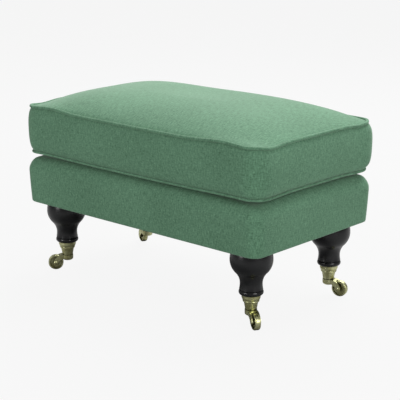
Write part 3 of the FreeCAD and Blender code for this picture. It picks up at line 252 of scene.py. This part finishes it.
# %% [markdown]
# ## Wood, brass and the other finishes
#
# The legs are turned beech, stained black and lacquered to a satin finish: the grain is closed, so
# only a soft streak of light tells the shape. The castors are brass with an antique finish,
# greenish where it is thin, and darkened in the hollows by patina together with painted shade. The
# cloth underneath is black spun-bonded fibre with no gloss at all.

# %% Satin black wood
GRAIN = (1 / 900, 1 / 900, 1 / 55)    # a pore: 1.1 mm across, 18 mm along the leg

black_lacquer, tree, shader = new_material("black_lacquered_beech", Roughness=0.24)
shader.inputs["Base Color"].default_value = linear("#0b0c0e")
shader.inputs["Specular IOR Level"].default_value = 0.5
place = add_node(tree, "ShaderNodeTexCoord").outputs["Object"]
grain = stretched_noise(tree, place, GRAIN, 2.0)
relief = add_node(tree, "ShaderNodeBump", {"Height": grain, "Strength": 0.12, "Distance": 0.0002})
tree.links.new(relief.outputs[0], shader.inputs["Normal"])
print("grain:", round(GRAIN[2] * 1000, 1), "mm long")

# %% Antique brass
HOLLOW = 0.009           # how far out of a hollow the patina and the painted shade reach
STAIN = 1 / 70           # size of a stain, 14 mm

antique_brass, tree, shader = new_material("antique_brass", Metallic=1.0, Roughness=0.27)
place = add_node(tree, "ShaderNodeTexCoord").outputs["Object"]
stains = {"Vector": place, "Scale": 1 / STAIN, "Detail": 3.0}
stain = add_node(tree, "ShaderNodeTexNoise", stains).outputs[0]
tone = two_tone(tree, stain, (0.35, 0.65), ("#b2b07c", "#dfe0b0"))
# Painted shade: ambient occlusion darkens the brass to near black in its hollows, patina and the
# shade that falls there in one.
reach = {"Distance": HOLLOW}
openness = add_node(tree, "ShaderNodeAmbientOcclusion", reach, samples=6).outputs["AO"]
bright_share = add_node(tree, "ShaderNodeMapRange", {0: openness, 1: 0.30, 2: 0.92}).outputs[0]
tones = {0: bright_share, 6: linear("#1f1e12"), 7: tone}
patina_and_shade = add_node(tree, "ShaderNodeMix", tones, data_type="RGBA")
tree.links.new(patina_and_shade.outputs[2], shader.inputs["Base Color"])
wear = add_node(tree, "ShaderNodeMapRange", {0: stain, 3: 0.38, 4: 0.28}).outputs[0]
tree.links.new(wear, shader.inputs["Roughness"])
print("patina reaches", HOLLOW * 1000, "mm")

# %% Underside cloth, webbing, steel and bare wood
def flecked(name, colours, stretch, relief, **finish):
    """Two close colours in streaks, and a relief that follows them. Sizes in metres."""
    material, tree, shader = new_material(name, **finish)
    place = add_node(tree, "ShaderNodeTexCoord").outputs["Object"]
    streak = stretched_noise(tree, place, stretch, 3.0)
    tree.links.new(two_tone(tree, streak, (0.35, 0.65), colours), shader.inputs["Base Color"])
    bump = add_node(tree, "ShaderNodeBump", {"Height": streak, "Strength": 0.5, "Distance": relief})
    tree.links.new(bump.outputs[0], shader.inputs["Normal"])
    return material


spun_cloth = flecked(
    "black_spunbond", ("#151517", "#232326"), (0.0014, 0.0009, 0.001), 0.0002, Roughness=0.95
)
jute = flecked(
    "jute_webbing", ("#8d7444", "#bfa571"), (0.002, 0.002, 0.002), 0.0006, Roughness=0.9
)
zinc = flecked(
    "zinc_plated_steel", ("#a4a7ab", "#c3c6c9"), (0.004, 0.004, 0.004), 0.00005,
    Metallic=1.0, Roughness=0.35
)
raw_beech = flecked(
    "planed_beech", ("#b98f5e", "#d8b685"), (0.06, 0.004, 0.004), 0.0001, Roughness=0.6
)
twill = flecked(
    "zip_tape_twill", ("#3b5a44", "#527759"), (0.0008, 0.0008, 0.003), 0.0002, Roughness=0.85
)
print("finishes:", sorted(m.name for m in bpy.data.materials))

# %% [markdown]
# ## Finish on the hard parts
#
# Each part takes the finish of what it is made of. The parts get smooth shading up to a sharp
# angle, so that the bulb of a leg looks round and the groove above its ring stays crisp.

# %% Paint the hard parts
SHARP = math.radians(33)    # a bend beyond this stays an edge

finishes = {
    "rail": raw_beech, "centre_brace": raw_beech, "corner_block": raw_beech, "webbing": jute,
    "block_screws": zinc, "leg_bolts": zinc, "tee_nuts": zinc, "bottom_cloth": spun_cloth,
    "leg_front": black_lacquer, "leg_back": black_lacquer,
    "castor_cup": antique_brass, "cup_screws": antique_brass, "swivel": antique_brass,
    "horn": antique_brass, "axle": antique_brass, "wheel": antique_brass,
    "zip_chain": antique_brass, "zip_slider": antique_brass, "zip_pull": antique_brass,
    "zip_tape": twill,
}
painted = 0
bpy.ops.object.select_all(action="DESELECT")
for name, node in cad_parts.items():
    for start, material in finishes.items():
        if name.startswith(start) or (start == "rail" and name.endswith("rail")):
            node.data.materials.clear()
            node.data.materials.append(material)
            node.select_set(True)
            bpy.context.view_layer.objects.active = node
            painted += 1
            break
bpy.ops.object.shade_smooth_by_angle(angle=SHARP, keep_sharp_edges=False)
print("painted", painted, "parts")

# %% [markdown]
# ## Soft blocks
#
# Both soft parts start in the same way. Two grids, one above the other, are the top and the
# bottom panel, and the bridge between their edges is the upright cloth. The grid then gets its
# round corners: each ring of the grid is pushed in at its corners, the outermost ring the most.
# Starting from grids keeps the seams as clean rings of edges, which is where the piping goes.

# %% Two panels and a bridge
def soft_block(name, size, levels, grid, rows):
    """A closed block of two grids with a bridge between them. Sizes in metres."""
    bpy.ops.object.select_all(action="DESELECT")
    bpy.ops.mesh.primitive_grid_add(x_subdivisions=grid[0], y_subdivisions=grid[1], size=1)
    block = bpy.context.object
    block.name = name
    block.data.name = name
    bpy.ops.object.mode_set(mode="EDIT")
    bpy.ops.mesh.select_all(action="SELECT")
    bpy.ops.transform.resize(value=(size[0], size[1], 1))
    bpy.ops.transform.translate(value=(0, 0, levels[0]))
    bpy.ops.mesh.duplicate_move(TRANSFORM_OT_translate={"value": (0, 0, levels[1] - levels[0])})
    bpy.ops.mesh.select_all(action="DESELECT")
    bpy.ops.mesh.select_mode(type="EDGE")
    bpy.ops.mesh.select_non_manifold()
    bpy.ops.mesh.bridge_edge_loops(
        number_cuts=rows - 1, interpolation="LINEAR", profile_shape_factor=0
    )
    bpy.ops.mesh.select_all(action="SELECT")
    bpy.ops.mesh.normals_make_consistent(inside=False)
    bpy.ops.object.mode_set(mode="OBJECT")
    return block


print("a block has a seam round its top and one round its bottom")

# %% Read and move points
def points_of(piece):
    """The piece's points, one row each."""
    flat = np.zeros(len(piece.data.vertices) * 3)
    piece.data.vertices.foreach_get("co", flat)
    return flat.reshape(-1, 3)


def move_points(piece, points):
    """Puts the piece's points where the rows say."""
    piece.data.vertices.foreach_set("co", points.reshape(-1))
    piece.data.update()


print("the floor has", len(points_of(floor)), "points")

# %% Round the corners of a grid
CORNER_PULL = 3          # how soon the rounding fades from the edge to the middle
ALMOST = 0.9999          # a share this near to 1 counts as 1


def round_corners(x, y, half, radius):
    """Where the points of a grid go when its outline gets round corners."""
    ring = np.maximum(np.abs(x) / half[0], np.abs(y) / half[1])
    safe = np.maximum(ring, 1e-6)
    edge_x = x / safe
    edge_y = y / safe
    from_x = np.maximum(np.abs(edge_x) - (half[0] - radius), 0)
    from_y = np.maximum(np.abs(edge_y) - (half[1] - radius), 0)
    at_corner = (from_x > 0) & (from_y > 0)
    on_end = np.abs(edge_x) / half[0] > np.abs(edge_y) / half[1]
    share = np.where(on_end, from_y, 2 * radius - from_x)
    angle = share / (2 * radius) * math.pi / 2
    round_x = np.sign(edge_x) * (half[0] - radius + radius * np.cos(angle))
    round_y = np.sign(edge_y) * (half[1] - radius + radius * np.sin(angle))
    pull = ring ** CORNER_PULL
    new_x = np.where(at_corner, ring * (edge_x + (round_x - edge_x) * pull), x)
    new_y = np.where(at_corner, ring * (edge_y + (round_y - edge_y) * pull), y)
    return new_x, new_y, ring


def outward(x, y, half, radius):
    """The level direction that points out of a rounded rectangle, and the point inside it that each
    point is measured from."""
    inner_x = np.clip(x, radius - half[0], half[0] - radius)
    inner_y = np.clip(y, radius - half[1], half[1] - radius)
    across = np.stack([x - inner_x, y - inner_y], axis=1)
    reach = np.linalg.norm(across, axis=1)
    return across / np.maximum(reach, 1e-9)[:, None], inner_x, inner_y


tip = round_corners(np.ones(1), np.ones(1), (1, 1), 0.2)[0]
print("a corner at 1.0, rounded by 0.2, goes to", round(float(tip[0]), 3))

# %% [markdown]
# ## The loose cushion
#
# The cushion is a foam core in a soft wrap, in a cover of three parts: a crowned top, an upright
# band all round, and a flat underside. Where the cover is sewn the filling can't push it out, so
# the band swells between its seams. The seams aren't straight: on the long sides they rise a
# little before each corner, where the filling is fullest, and they sink at the corner itself.

# %% Size of the cushion
CUSHION_GRID = (88, 50)  # squares along and across
BAND_ROWS = 12           # and up the band
SEAM_HALF = (0.3535, 0.2040)
SEAM_CORNER = 0.038      # radius of a corner, seen from above
UPPER_SEAM = 0.4006      # height above the floor
LOWER_SEAM = 0.2948
UNDERSIDE = 0.2856
UNDERSIDE_EDGE = 0.16    # share of the half width in which the underside drops from its seam
UNDERSIDE_SHAPE = 1.2    # above 1, it leaves the seam gently

CROWN = 0.0455           # how far the middle of the top stands above its seam
CROWN_ALONG = 4.5        # the higher, the flatter the middle and the steeper the ends
CROWN_ACROSS = 3.43
CROWN_SHOULDER = 1.09
CROWN_EDGE = 8           # the higher, the nearer to the seam the fullness below reaches
FULL_RIGHT = 0.0013      # half of what the right half of the back gains
FULL_FADE = 0.05         # over what length it gains it
FULL_END = 0.0030        # what its right end gains on top of that
FULL_END_X = 0.305
FULL_BACK_Y = 0.150
FULL_WIDTH = 0.055

SWELL = 0.0084           # how far the band stands out between its seams
SWELL_SHAPE = 3.2        # the higher, the squarer the band's section
FULL_CORNER = 0.0060     # the back right corner is the fullest
FULL_CORNER_SHAPE = 7
FULL_REACH = 0.045       # how far from the corner that fullness fades
UPPER_DRAWN_IN = 0.0018  # how far the sewing draws each seam in
LOWER_DRAWN_IN = 0.0038
DRAWN_IN_FADE = 6        # the higher, the less of the panel is drawn in with its seam

print("cushion between its seams:", round((UPPER_SEAM - LOWER_SEAM) * 1000, 1), "mm")

# %% How the seams stray from level
LONG_RISE = (0.262, 0.060)       # where the seams rise on the long sides, and how wide
SHORT_SINK = (0.150, 0.036)      # where they sink on the short sides, and how wide
UPPER_LONG = (-0.0012, 0.0066, 0.0020)    # the middle, the rise in front and at the back
UPPER_SHORT = (0.0016, 0.0046)   # the middle, and how far it sinks
LOWER_LONG = (-0.0020, 0.0040)   # the middle, and the rise towards the ends
LOWER_SHORT = (0.0008, 0.0018)
LOWER_END = 0.320                # where the lower seam of the long sides has risen in full
LOWER_SHAPE = 2.5                # the higher, the nearer to the ends it rises
LOW_CORNER = 0.0030              # how far the lower seam sinks at each corner
LOW_CORNER_REACH = 0.06
SIDE_EDGE = 8                    # the higher, the sharper one side gives way to the next


def hump(value, middle, width):
    """A smooth rise about two places that mirror each other."""
    return np.exp(-(((np.abs(value) - middle) / width) ** 2))


def seam_wave(x, y, upper):
    """How far the seam strays from level."""
    near_long = (np.abs(y) / SEAM_HALF[1]) ** SIDE_EDGE
    near_short = (np.abs(x) / SEAM_HALF[0]) ** SIDE_EDGE
    if upper:
        middle, in_front, behind = UPPER_LONG
        long_side = middle + np.where(y < 0, in_front, behind) * hump(x, *LONG_RISE)
        short_side = UPPER_SHORT[0] - UPPER_SHORT[1] * hump(y, *SHORT_SINK)
    else:
        long_side = LOWER_LONG[0] + LOWER_LONG[1] * (np.abs(x) / LOWER_END) ** LOWER_SHAPE
        short_side = LOWER_SHORT[0] - LOWER_SHORT[1] * hump(y, *SHORT_SINK)
    total = np.maximum(1.0, near_long + near_short)
    wave = (near_long * long_side + near_short * short_side) / total
    to_corner = (SEAM_HALF[0] - np.abs(x)) + (SEAM_HALF[1] - np.abs(y))
    return wave if upper else wave - LOW_CORNER * np.exp(-((to_corner / LOW_CORNER_REACH) ** 2))


highest_x, front_y = np.array([LONG_RISE[0]]), np.array([-SEAM_HALF[1]])
risen = seam_wave(highest_x, front_y, True)[0]
print("the front seam rises by up to", round(float(risen) * 1000, 1), "mm")

# %% Start the cushion
full_size = [2 * h for h in SEAM_HALF]
cushion = soft_block("cushion", full_size, (LOWER_SEAM, UPPER_SEAM), CUSHION_GRID, BAND_ROWS)
points = points_of(cushion)
rise = (points[:, 2] - LOWER_SEAM) / (UPPER_SEAM - LOWER_SEAM)
x, y, ring = round_corners(points[:, 0], points[:, 1], SEAM_HALF, SEAM_CORNER)
on_seam = ring > ALMOST
is_top = rise > ALMOST
is_bottom = rise < 1 - ALMOST
is_band = on_seam & ~is_top & ~is_bottom
print("cushion:", len(points), "points,", int(is_band.sum()), "of them in the band")

# %% Crown the top and settle the underside
along = np.clip(1 - np.abs(x / SEAM_HALF[0]) ** CROWN_ALONG, 0, 1)
across = np.clip(1 - np.abs(y / SEAM_HALF[1]) ** CROWN_ACROSS, 0, 1)
crown = CROWN * (along * across) ** CROWN_SHOULDER
full_end = FULL_END * np.exp(-(((x - FULL_END_X) / FULL_WIDTH) ** 2))
full_back = FULL_RIGHT * (1 + np.tanh(x / FULL_FADE)) + full_end
crown += full_back * np.exp(-(((y - FULL_BACK_Y) / FULL_WIDTH) ** 2)) * (1 - ring ** CROWN_EDGE)
z_top = UPPER_SEAM + seam_wave(x, y, True) + crown
from_edge = np.clip((1 - ring) / UNDERSIDE_EDGE, 0, 1)
settle = np.sin(from_edge * math.pi / 2) ** UNDERSIDE_SHAPE
z_bottom = LOWER_SEAM + seam_wave(x, y, False) * (1 - settle) + (UNDERSIDE - LOWER_SEAM) * settle
print("top of the crown:", round(float(z_top[is_top].max()) * 1000, 1), "mm above the floor")

# %% Swell the band
low_edge = LOWER_SEAM + seam_wave(x, y, False)
high_edge = UPPER_SEAM + seam_wave(x, y, True)
z_band = low_edge + (high_edge - low_edge) * rise
z = np.where(is_top, z_top, np.where(is_bottom, z_bottom, z_band))
out = outward(x, y, SEAM_HALF, SEAM_CORNER)[0]
from_corner = (x - SEAM_HALF[0]) ** 2 + (y - SEAM_HALF[1]) ** 2
full_corner = FULL_CORNER * np.exp(-from_corner / FULL_REACH ** 2)
off_middle = np.abs(2 * rise - 1)
swollen = SWELL * (1 - off_middle ** SWELL_SHAPE)
swollen += full_corner * (1 - off_middle ** FULL_CORNER_SHAPE)
bulge = np.where(is_band, swollen, 0)
bulge -= (LOWER_DRAWN_IN * (1 - rise) + UPPER_DRAWN_IN * rise) * ring ** DRAWN_IN_FADE
x = x + out[:, 0] * bulge
y = y + out[:, 1] * bulge
move_points(cushion, np.stack([x, y, z], axis=1))
print("band: stands out by up to", round(float(bulge.max()) * 1000, 1), "mm")

# %% [markdown]
# A short cloth simulation lets the cover find its own balance between the filling's pressure and
# the seams that hold it, which gives the slight unevenness that a drawn surface lacks. The seams
# and the underside are pinned. No point may move further than a few millimetres, and the result
# is written into the mesh, so nothing of the simulation is left on the piece.

# %% Let the filling press the cover out
MOST_MOVE = 0.0035       # no point ends up further than this from where it was
PRESSURE = 4.0
STEPS = 20
WEAVE = {
    "quality": 5, "mass": 0.3, "tension_stiffness": 25, "compression_stiffness": 25,
    "shear_stiffness": 12, "bending_stiffness": 2.0, "use_pressure": True,
}


def press_out(piece, pinned, pressure, frames):
    """Inflates the piece between its pinned points and keeps the result."""
    start = points_of(piece)
    group = piece.vertex_groups.new(name="sewn")
    group.add([int(i) for i in np.nonzero(pinned)[0]], 1.0, "REPLACE")
    cloth = piece.modifiers.new("filling", "CLOTH")
    for name, setting in WEAVE.items():
        setattr(cloth.settings, name, setting)
    cloth.settings.uniform_pressure_force = pressure
    cloth.settings.effector_weights.gravity = 0
    cloth.settings.vertex_group_mass = group.name
    cloth.collision_settings.use_collision = False
    cloth.point_cache.frame_start = 1
    cloth.point_cache.frame_end = frames
    for number in range(1, frames + 1):
        bpy.context.scene.frame_set(number)
    shown = piece.evaluated_get(bpy.context.evaluated_depsgraph_get())
    flat = np.zeros(len(start) * 3)
    shown.data.vertices.foreach_get("co", flat)
    move = flat.reshape(-1, 3) - start
    far = np.linalg.norm(move, axis=1)
    keep = MOST_MOVE / np.maximum(far, MOST_MOVE)
    piece.modifiers.remove(cloth)
    piece.vertex_groups.remove(group)
    bpy.context.scene.frame_set(1)
    move_points(piece, start + move * keep[:, None])
    return far


moved = press_out(cushion, on_seam & ~is_band | is_bottom, PRESSURE, STEPS)
print("cover moved by up to", round(float(moved.max()) * 1000, 1), "mm")

# %% [markdown]
# ## Map of the cloth
#
# The map says where on the bolt each bit of cloth was cut. On a level panel that is simply its
# place seen from above. On an upright one it is the way round the stool and the height. The
# faces of the upright cloth wrap round once, and the face that closes the ring is put right.

# %% The way round
NEAR = 1e-3              # an angle this close to a straight side's counts as on it
FULL_TURN = 1e-4         # an angle this close to a full turn counts as none


def way_round(x, y, half, radius):
    """How far round a rounded rectangle each point is, from the front left corner."""
    out, inner_x, inner_y = outward(x, y, half, radius)
    side_x = half[0] - radius
    side_y = half[1] - radius
    angle = np.mod(np.arctan2(out[:, 0], -out[:, 1]), 2 * math.pi)
    angle = np.where(angle > 2 * math.pi - FULL_TURN, 0, angle)
    quarter = math.pi / 2
    path = np.select(
        [angle < NEAR, angle < quarter - NEAR, angle < quarter + NEAR, angle < 2 * quarter - NEAR,
         angle < 2 * quarter + NEAR, angle < 3 * quarter - NEAR, angle < 3 * quarter + NEAR],
        [inner_x + side_x, 2 * side_x, 2 * side_x + inner_y + side_y, 2 * side_x + 2 * side_y,
         3 * side_x + 2 * side_y - inner_x, 4 * side_x + 2 * side_y,
         4 * side_x + 3 * side_y - inner_y],
        4 * side_x + 4 * side_y,
    )
    return path + radius * angle


round_cushion = 4 * (sum(SEAM_HALF) - 2 * SEAM_CORNER) + 2 * math.pi * SEAM_CORNER
print("band:", round(round_cushion, 3), "m long")

# %% Lay the map
LEVEL_CUT = (3.1, 1.7)   # where on the bolt the level panels are cut


def lay_map(piece, half, radius):
    """Writes the map called cloth: level faces from above, upright faces by the way round."""
    mesh = piece.data
    points = points_of(piece)
    corner_point = np.zeros(len(mesh.loops), dtype=int)
    mesh.loops.foreach_get("vertex_index", corner_point)
    starts = np.zeros(len(mesh.polygons), dtype=int)
    totals = np.zeros(len(mesh.polygons), dtype=int)
    mesh.polygons.foreach_get("loop_start", starts)
    mesh.polygons.foreach_get("loop_total", totals)
    face_of_corner = np.repeat(np.arange(len(starts)), totals)
    panel = np.zeros(len(mesh.polygons), dtype=int)
    mesh.polygons.foreach_get("material_index", panel)
    around = way_round(points[:, 0], points[:, 1], half, radius)
    full = 4 * (half[0] + half[1] - 2 * radius) + 2 * math.pi * radius
    u = around[corner_point]
    highest = np.full(len(starts), -1e9)
    np.maximum.at(highest, face_of_corner, u)
    u = np.where(highest[face_of_corner] - u > full / 2, u + full, u)
    v = points[corner_point, 2]
    upright = panel[face_of_corner] == 1
    u = np.where(upright, u, points[corner_point, 0] + LEVEL_CUT[0])
    v = np.where(upright, v, points[corner_point, 1] + LEVEL_CUT[1])
    layer = mesh.uv_layers.get("cloth") or mesh.uv_layers.new(name="cloth")
    layer.data.foreach_set("uv", np.stack([u, v], axis=1).reshape(-1))
    mesh.uv_layers.active = layer


print("level panels are cut", LEVEL_CUT[0], "m along the bolt")

# %% Tell upright faces from level ones
def mark_upright(piece, upright_points):
    """Gives the faces whose points are all upright cloth the second material place."""
    for face in piece.data.polygons:
        face.material_index = 1 if all(upright_points[i] for i in face.vertices) else 0


def smooth_once(piece):
    """Rounds the mesh off by one level, in the mesh itself."""
    bpy.ops.object.select_all(action="DESELECT")
    piece.select_set(True)
    bpy.context.view_layer.objects.active = piece
    rounding = piece.modifiers.new("rounding", "SUBSURF")
    rounding.levels = 1
    rounding.render_levels = 1
    bpy.ops.object.modifier_apply(modifier=rounding.name)
    bpy.ops.object.shade_smooth()


for panel in ("level", "upright"):
    cushion.data.materials.append(cover_linen)
mark_upright(cushion, on_seam)
print("upright faces:", sum(face.material_index for face in cushion.data.polygons))

# %% [markdown]
# ## Piping
#
# Piping is a cord in a strip of the same cloth, sewn into the seam. The ring of edges at each
# seam is copied off the cushion, turned into a curve and given a round section. Then the seam
# itself is drawn in behind the cord, so that a shadow line runs on each side of it.

# %% Copy each seam into a cord
PIPING = 0.0036
LOWER_PIPING = 0.0028
TUCK = 0.0024            # how far a seam is drawn in behind its cord


def piping_from(piece, name, chosen, radius):
    """A cord along the edges whose two ends are both chosen."""
    bpy.ops.object.select_all(action="DESELECT")
    piece.select_set(True)
    bpy.context.view_layer.objects.active = piece
    bpy.ops.object.duplicate()
    cord = bpy.context.object
    cord.name = name
    cord.data.name = name
    cord.data.materials.clear()
    for point in cord.data.vertices:
        point.select = bool(chosen[point.index])
    for edge in cord.data.edges:
        edge.select = bool(chosen[edge.vertices[0]] and chosen[edge.vertices[1]])
    for face in cord.data.polygons:
        face.select = False
    bpy.ops.object.mode_set(mode="EDIT")
    bpy.ops.mesh.select_mode(type="EDGE")
    bpy.ops.mesh.select_all(action="INVERT")
    bpy.ops.mesh.delete(type="EDGE")
    bpy.ops.object.mode_set(mode="OBJECT")
    bpy.ops.object.convert(target="CURVE")
    cord = bpy.context.object
    cord.data.bevel_depth = radius
    cord.data.bevel_resolution = 4
    cord.data.use_fill_caps = False
    bpy.ops.object.convert(target="MESH")
    cord = bpy.context.object
    cord.data.materials.clear()
    cord.data.materials.append(cord_linen)
    bpy.ops.object.shade_smooth()
    return cord


upper_ring = on_seam & is_top
lower_ring = on_seam & is_bottom
piping_upper = piping_from(cushion, "cushion_piping_upper", upper_ring, PIPING)
piping_lower = piping_from(cushion, "cushion_piping_lower", lower_ring, LOWER_PIPING)
print("piping:", len(piping_upper.data.vertices), "points in each cord")

# %% Draw the seams in behind the cords
points = points_of(cushion)
out = outward(points[:, 0], points[:, 1], SEAM_HALF, SEAM_CORNER)[0]
tuck = np.where(upper_ring | lower_ring, TUCK, 0)
points[:, 0] -= out[:, 0] * tuck
points[:, 1] -= out[:, 1] * tuck
move_points(cushion, points)
print("seam points drawn in:", int((tuck > 0).sum()))

# %% [markdown]
# The back band is made of two strips with a zip between them, so that the cover comes off to be
# washed. The faces of the back are split along the edges of the opening, and the cloth between
# the splits is pushed in, which leaves a groove for the zip's teeth.

# %% Groove for the zip
ZIP_LEVEL = 0.3170
GROOVE = (0.2856, 0.0032)    # half the length, half the height
GROOVE_DEPTH = 0.0056
LIP = 0.0006
STRIP = (0.012, 0.020)       # how far faces are split beyond the zip's ends, and up and down
BACK_BAND = 0.195            # what lies further back than this is the back band


def select_strip():
    """Selects the faces of the back band round the zip."""
    for face in cushion.data.polygons:
        middle = face.center
        near_zip = abs(middle.z - ZIP_LEVEL) < STRIP[1] and abs(middle.x) < GROOVE[0] + STRIP[0]
        face.select = middle.y > BACK_BAND and near_zip


bpy.ops.object.select_all(action="DESELECT")
cushion.select_set(True)
bpy.context.view_layer.objects.active = cushion
for level in (-GROOVE[1] - LIP, -GROOVE[1], GROOVE[1], GROOVE[1] + LIP):
    select_strip()
    bpy.ops.object.mode_set(mode="EDIT")
    bpy.ops.mesh.select_mode(type="FACE")
    bpy.ops.mesh.bisect(plane_co=(0, 0, ZIP_LEVEL + level), plane_no=(0, 0, 1))
    bpy.ops.mesh.select_mode(type="FACE")
    bpy.ops.object.mode_set(mode="OBJECT")
points = points_of(cushion)
in_groove = np.abs(points[:, 2] - ZIP_LEVEL) < GROOVE[1] + LIP / 2
in_groove &= (np.abs(points[:, 0]) < GROOVE[0]) & (points[:, 1] > BACK_BAND)
points[:, 1] -= np.where(in_groove, GROOVE_DEPTH, 0)
move_points(cushion, points)
print("groove:", int(in_groove.sum()), "points pushed in")

# %% Round the cushion off
smooth_once(cushion)
lay_map(cushion, SEAM_HALF, SEAM_CORNER)
print("cushion:", len(cushion.data.polygons), "faces")

# %% [markdown]
# ## The upholstered base
#
# The base is a wooden box frame padded all over. Its cover is pulled tight over a rolled upper
# edge and turned in under the rails, so the sides lean in slightly towards the bottom and the
# lower edge is crisp. The block is made in the same way as the cushion, and its upright cloth
# follows a profile: round the hem, straight up the side, then a quarter turn over the roll. The
# roll sinks a little at the corners, where the padding is thinner.

# %% Size of the base
BASE_HALF = (0.3562, 0.2062)
BASE_CORNER = 0.0290     # radius of a corner, seen from above
BASE_BOTTOM = 0.1718     # heights above the floor
DECK = 0.2850
ROLL_IN = 0.0270         # how far the roll reaches in over the deck, and down the side
ROLL_DOWN = 0.0340
LEAN = 0.0046            # how far the side leans in at its lower edge
LEAN_SHAPE = 1.3
HEM_ROUND = 0.0035       # radius of the turned hem
CORNER_DROP = 0.0060     # how far the roll sinks at a corner
DROP_REACH = 0.06        # how far from a corner the drop fades
DROP_FLAT = 2.4          # above 1, the drop is full over a stretch at the corner
DROP_LEVELS = (0.24, 0.27)    # where the drop starts, and where it is full
BASE_GRID = (72, 42)     # squares along and across
BASE_ROWS = 26           # and up the side, of which these are in the roll and in the hem
ROLL_ROWS = 12
HEM_ROWS = 2

print("base:", round((DECK - BASE_BOTTOM) * 1000, 1), "mm high")

# %% Start the base
full_size = [2 * h for h in BASE_HALF]
base = soft_block("base_upholstery", full_size, (BASE_BOTTOM, DECK), BASE_GRID, BASE_ROWS)
points = points_of(base)
rise = (points[:, 2] - BASE_BOTTOM) / (DECK - BASE_BOTTOM)
x, y, ring = round_corners(points[:, 0], points[:, 1], BASE_HALF, BASE_CORNER)
on_edge = ring > ALMOST
is_deck = rise > ALMOST
is_floor = rise < 1 - ALMOST
step = np.rint(rise * BASE_ROWS)
print("base:", len(points), "points")

# %% Profile of the side
side_rows = BASE_ROWS - ROLL_ROWS - HEM_ROWS
straight = (DECK - ROLL_DOWN) - (BASE_BOTTOM + HEM_ROUND)
side_share = np.clip((step - HEM_ROWS) / side_rows, 0, 1)
roll_angle = np.clip((step - HEM_ROWS - side_rows) / ROLL_ROWS, 0, 1) * math.pi / 2
hem_angle = np.clip(step / HEM_ROWS, 0, 1) * math.pi / 2
inset = LEAN * (1 - side_share) ** LEAN_SHAPE
inset += HEM_ROUND * (1 - np.sin(hem_angle))
inset += ROLL_IN * (1 - np.cos(roll_angle))
height = BASE_BOTTOM + HEM_ROUND * (1 - np.cos(hem_angle)) + straight * side_share
height += ROLL_DOWN * np.sin(roll_angle)
out = outward(x, y, BASE_HALF, BASE_CORNER)[0]
x_side = x - out[:, 0] * inset
y_side = y - out[:, 1] * inset
print("straight part of the side:", round(straight * 1000, 1), "mm")

# %% Fit the level panels and sink the corners
def drawn_in(amount):
    """The grid of a level panel whose edge is drawn in by amount."""
    smaller = (BASE_HALF[0] - amount, BASE_HALF[1] - amount)
    grid_x = points[:, 0] * smaller[0] / BASE_HALF[0]
    grid_y = points[:, 1] * smaller[1] / BASE_HALF[1]
    return round_corners(grid_x, grid_y, smaller, BASE_CORNER - amount)[:2]


deck_x, deck_y = drawn_in(ROLL_IN)
low_x, low_y = drawn_in(LEAN + HEM_ROUND)
x = np.where(is_deck, deck_x, np.where(is_floor, low_x, x_side))
y = np.where(is_deck, deck_y, np.where(is_floor, low_y, y_side))
z = np.where(is_deck | is_floor, points[:, 2], height)
to_corner = np.exp(-((BASE_HALF[0] - np.abs(x)) + (BASE_HALF[1] - np.abs(y))) / DROP_REACH)
drop_share = np.clip((z - DROP_LEVELS[0]) / (DROP_LEVELS[1] - DROP_LEVELS[0]), 0, 1)
z -= CORNER_DROP * np.minimum(1, DROP_FLAT * to_corner) * drop_share
move_points(base, np.stack([x, y, z], axis=1))
print("roll at a corner:", round(float(z[on_edge & is_deck].min()) * 1000, 1), "mm high")

# %% Finish the base
for panel in ("level", "upright"):
    base.data.materials.append(cover_linen)
mark_upright(base, on_edge)
smooth_once(base)
lay_map(base, BASE_HALF, BASE_CORNER)
print("base:", len(base.data.polygons), "faces")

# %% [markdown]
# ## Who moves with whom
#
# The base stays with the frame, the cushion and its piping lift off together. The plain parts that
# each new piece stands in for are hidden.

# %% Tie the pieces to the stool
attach(base, "stool")
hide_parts("base_cover", "base_wadding", "deck_pad")

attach(cushion, "cushion")
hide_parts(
    "cushion_top_panel", "cushion_band", "cushion_bottom_panel", "cushion_wrap",
    "cushion_core"
)
for cord, node in ((piping_upper, "piping_upper"), (piping_lower, "piping_lower")):
    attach(cord, "cushion")
    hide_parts(node)
print("soft pieces:", [o.name for o in (base, cushion, piping_upper, piping_lower)])
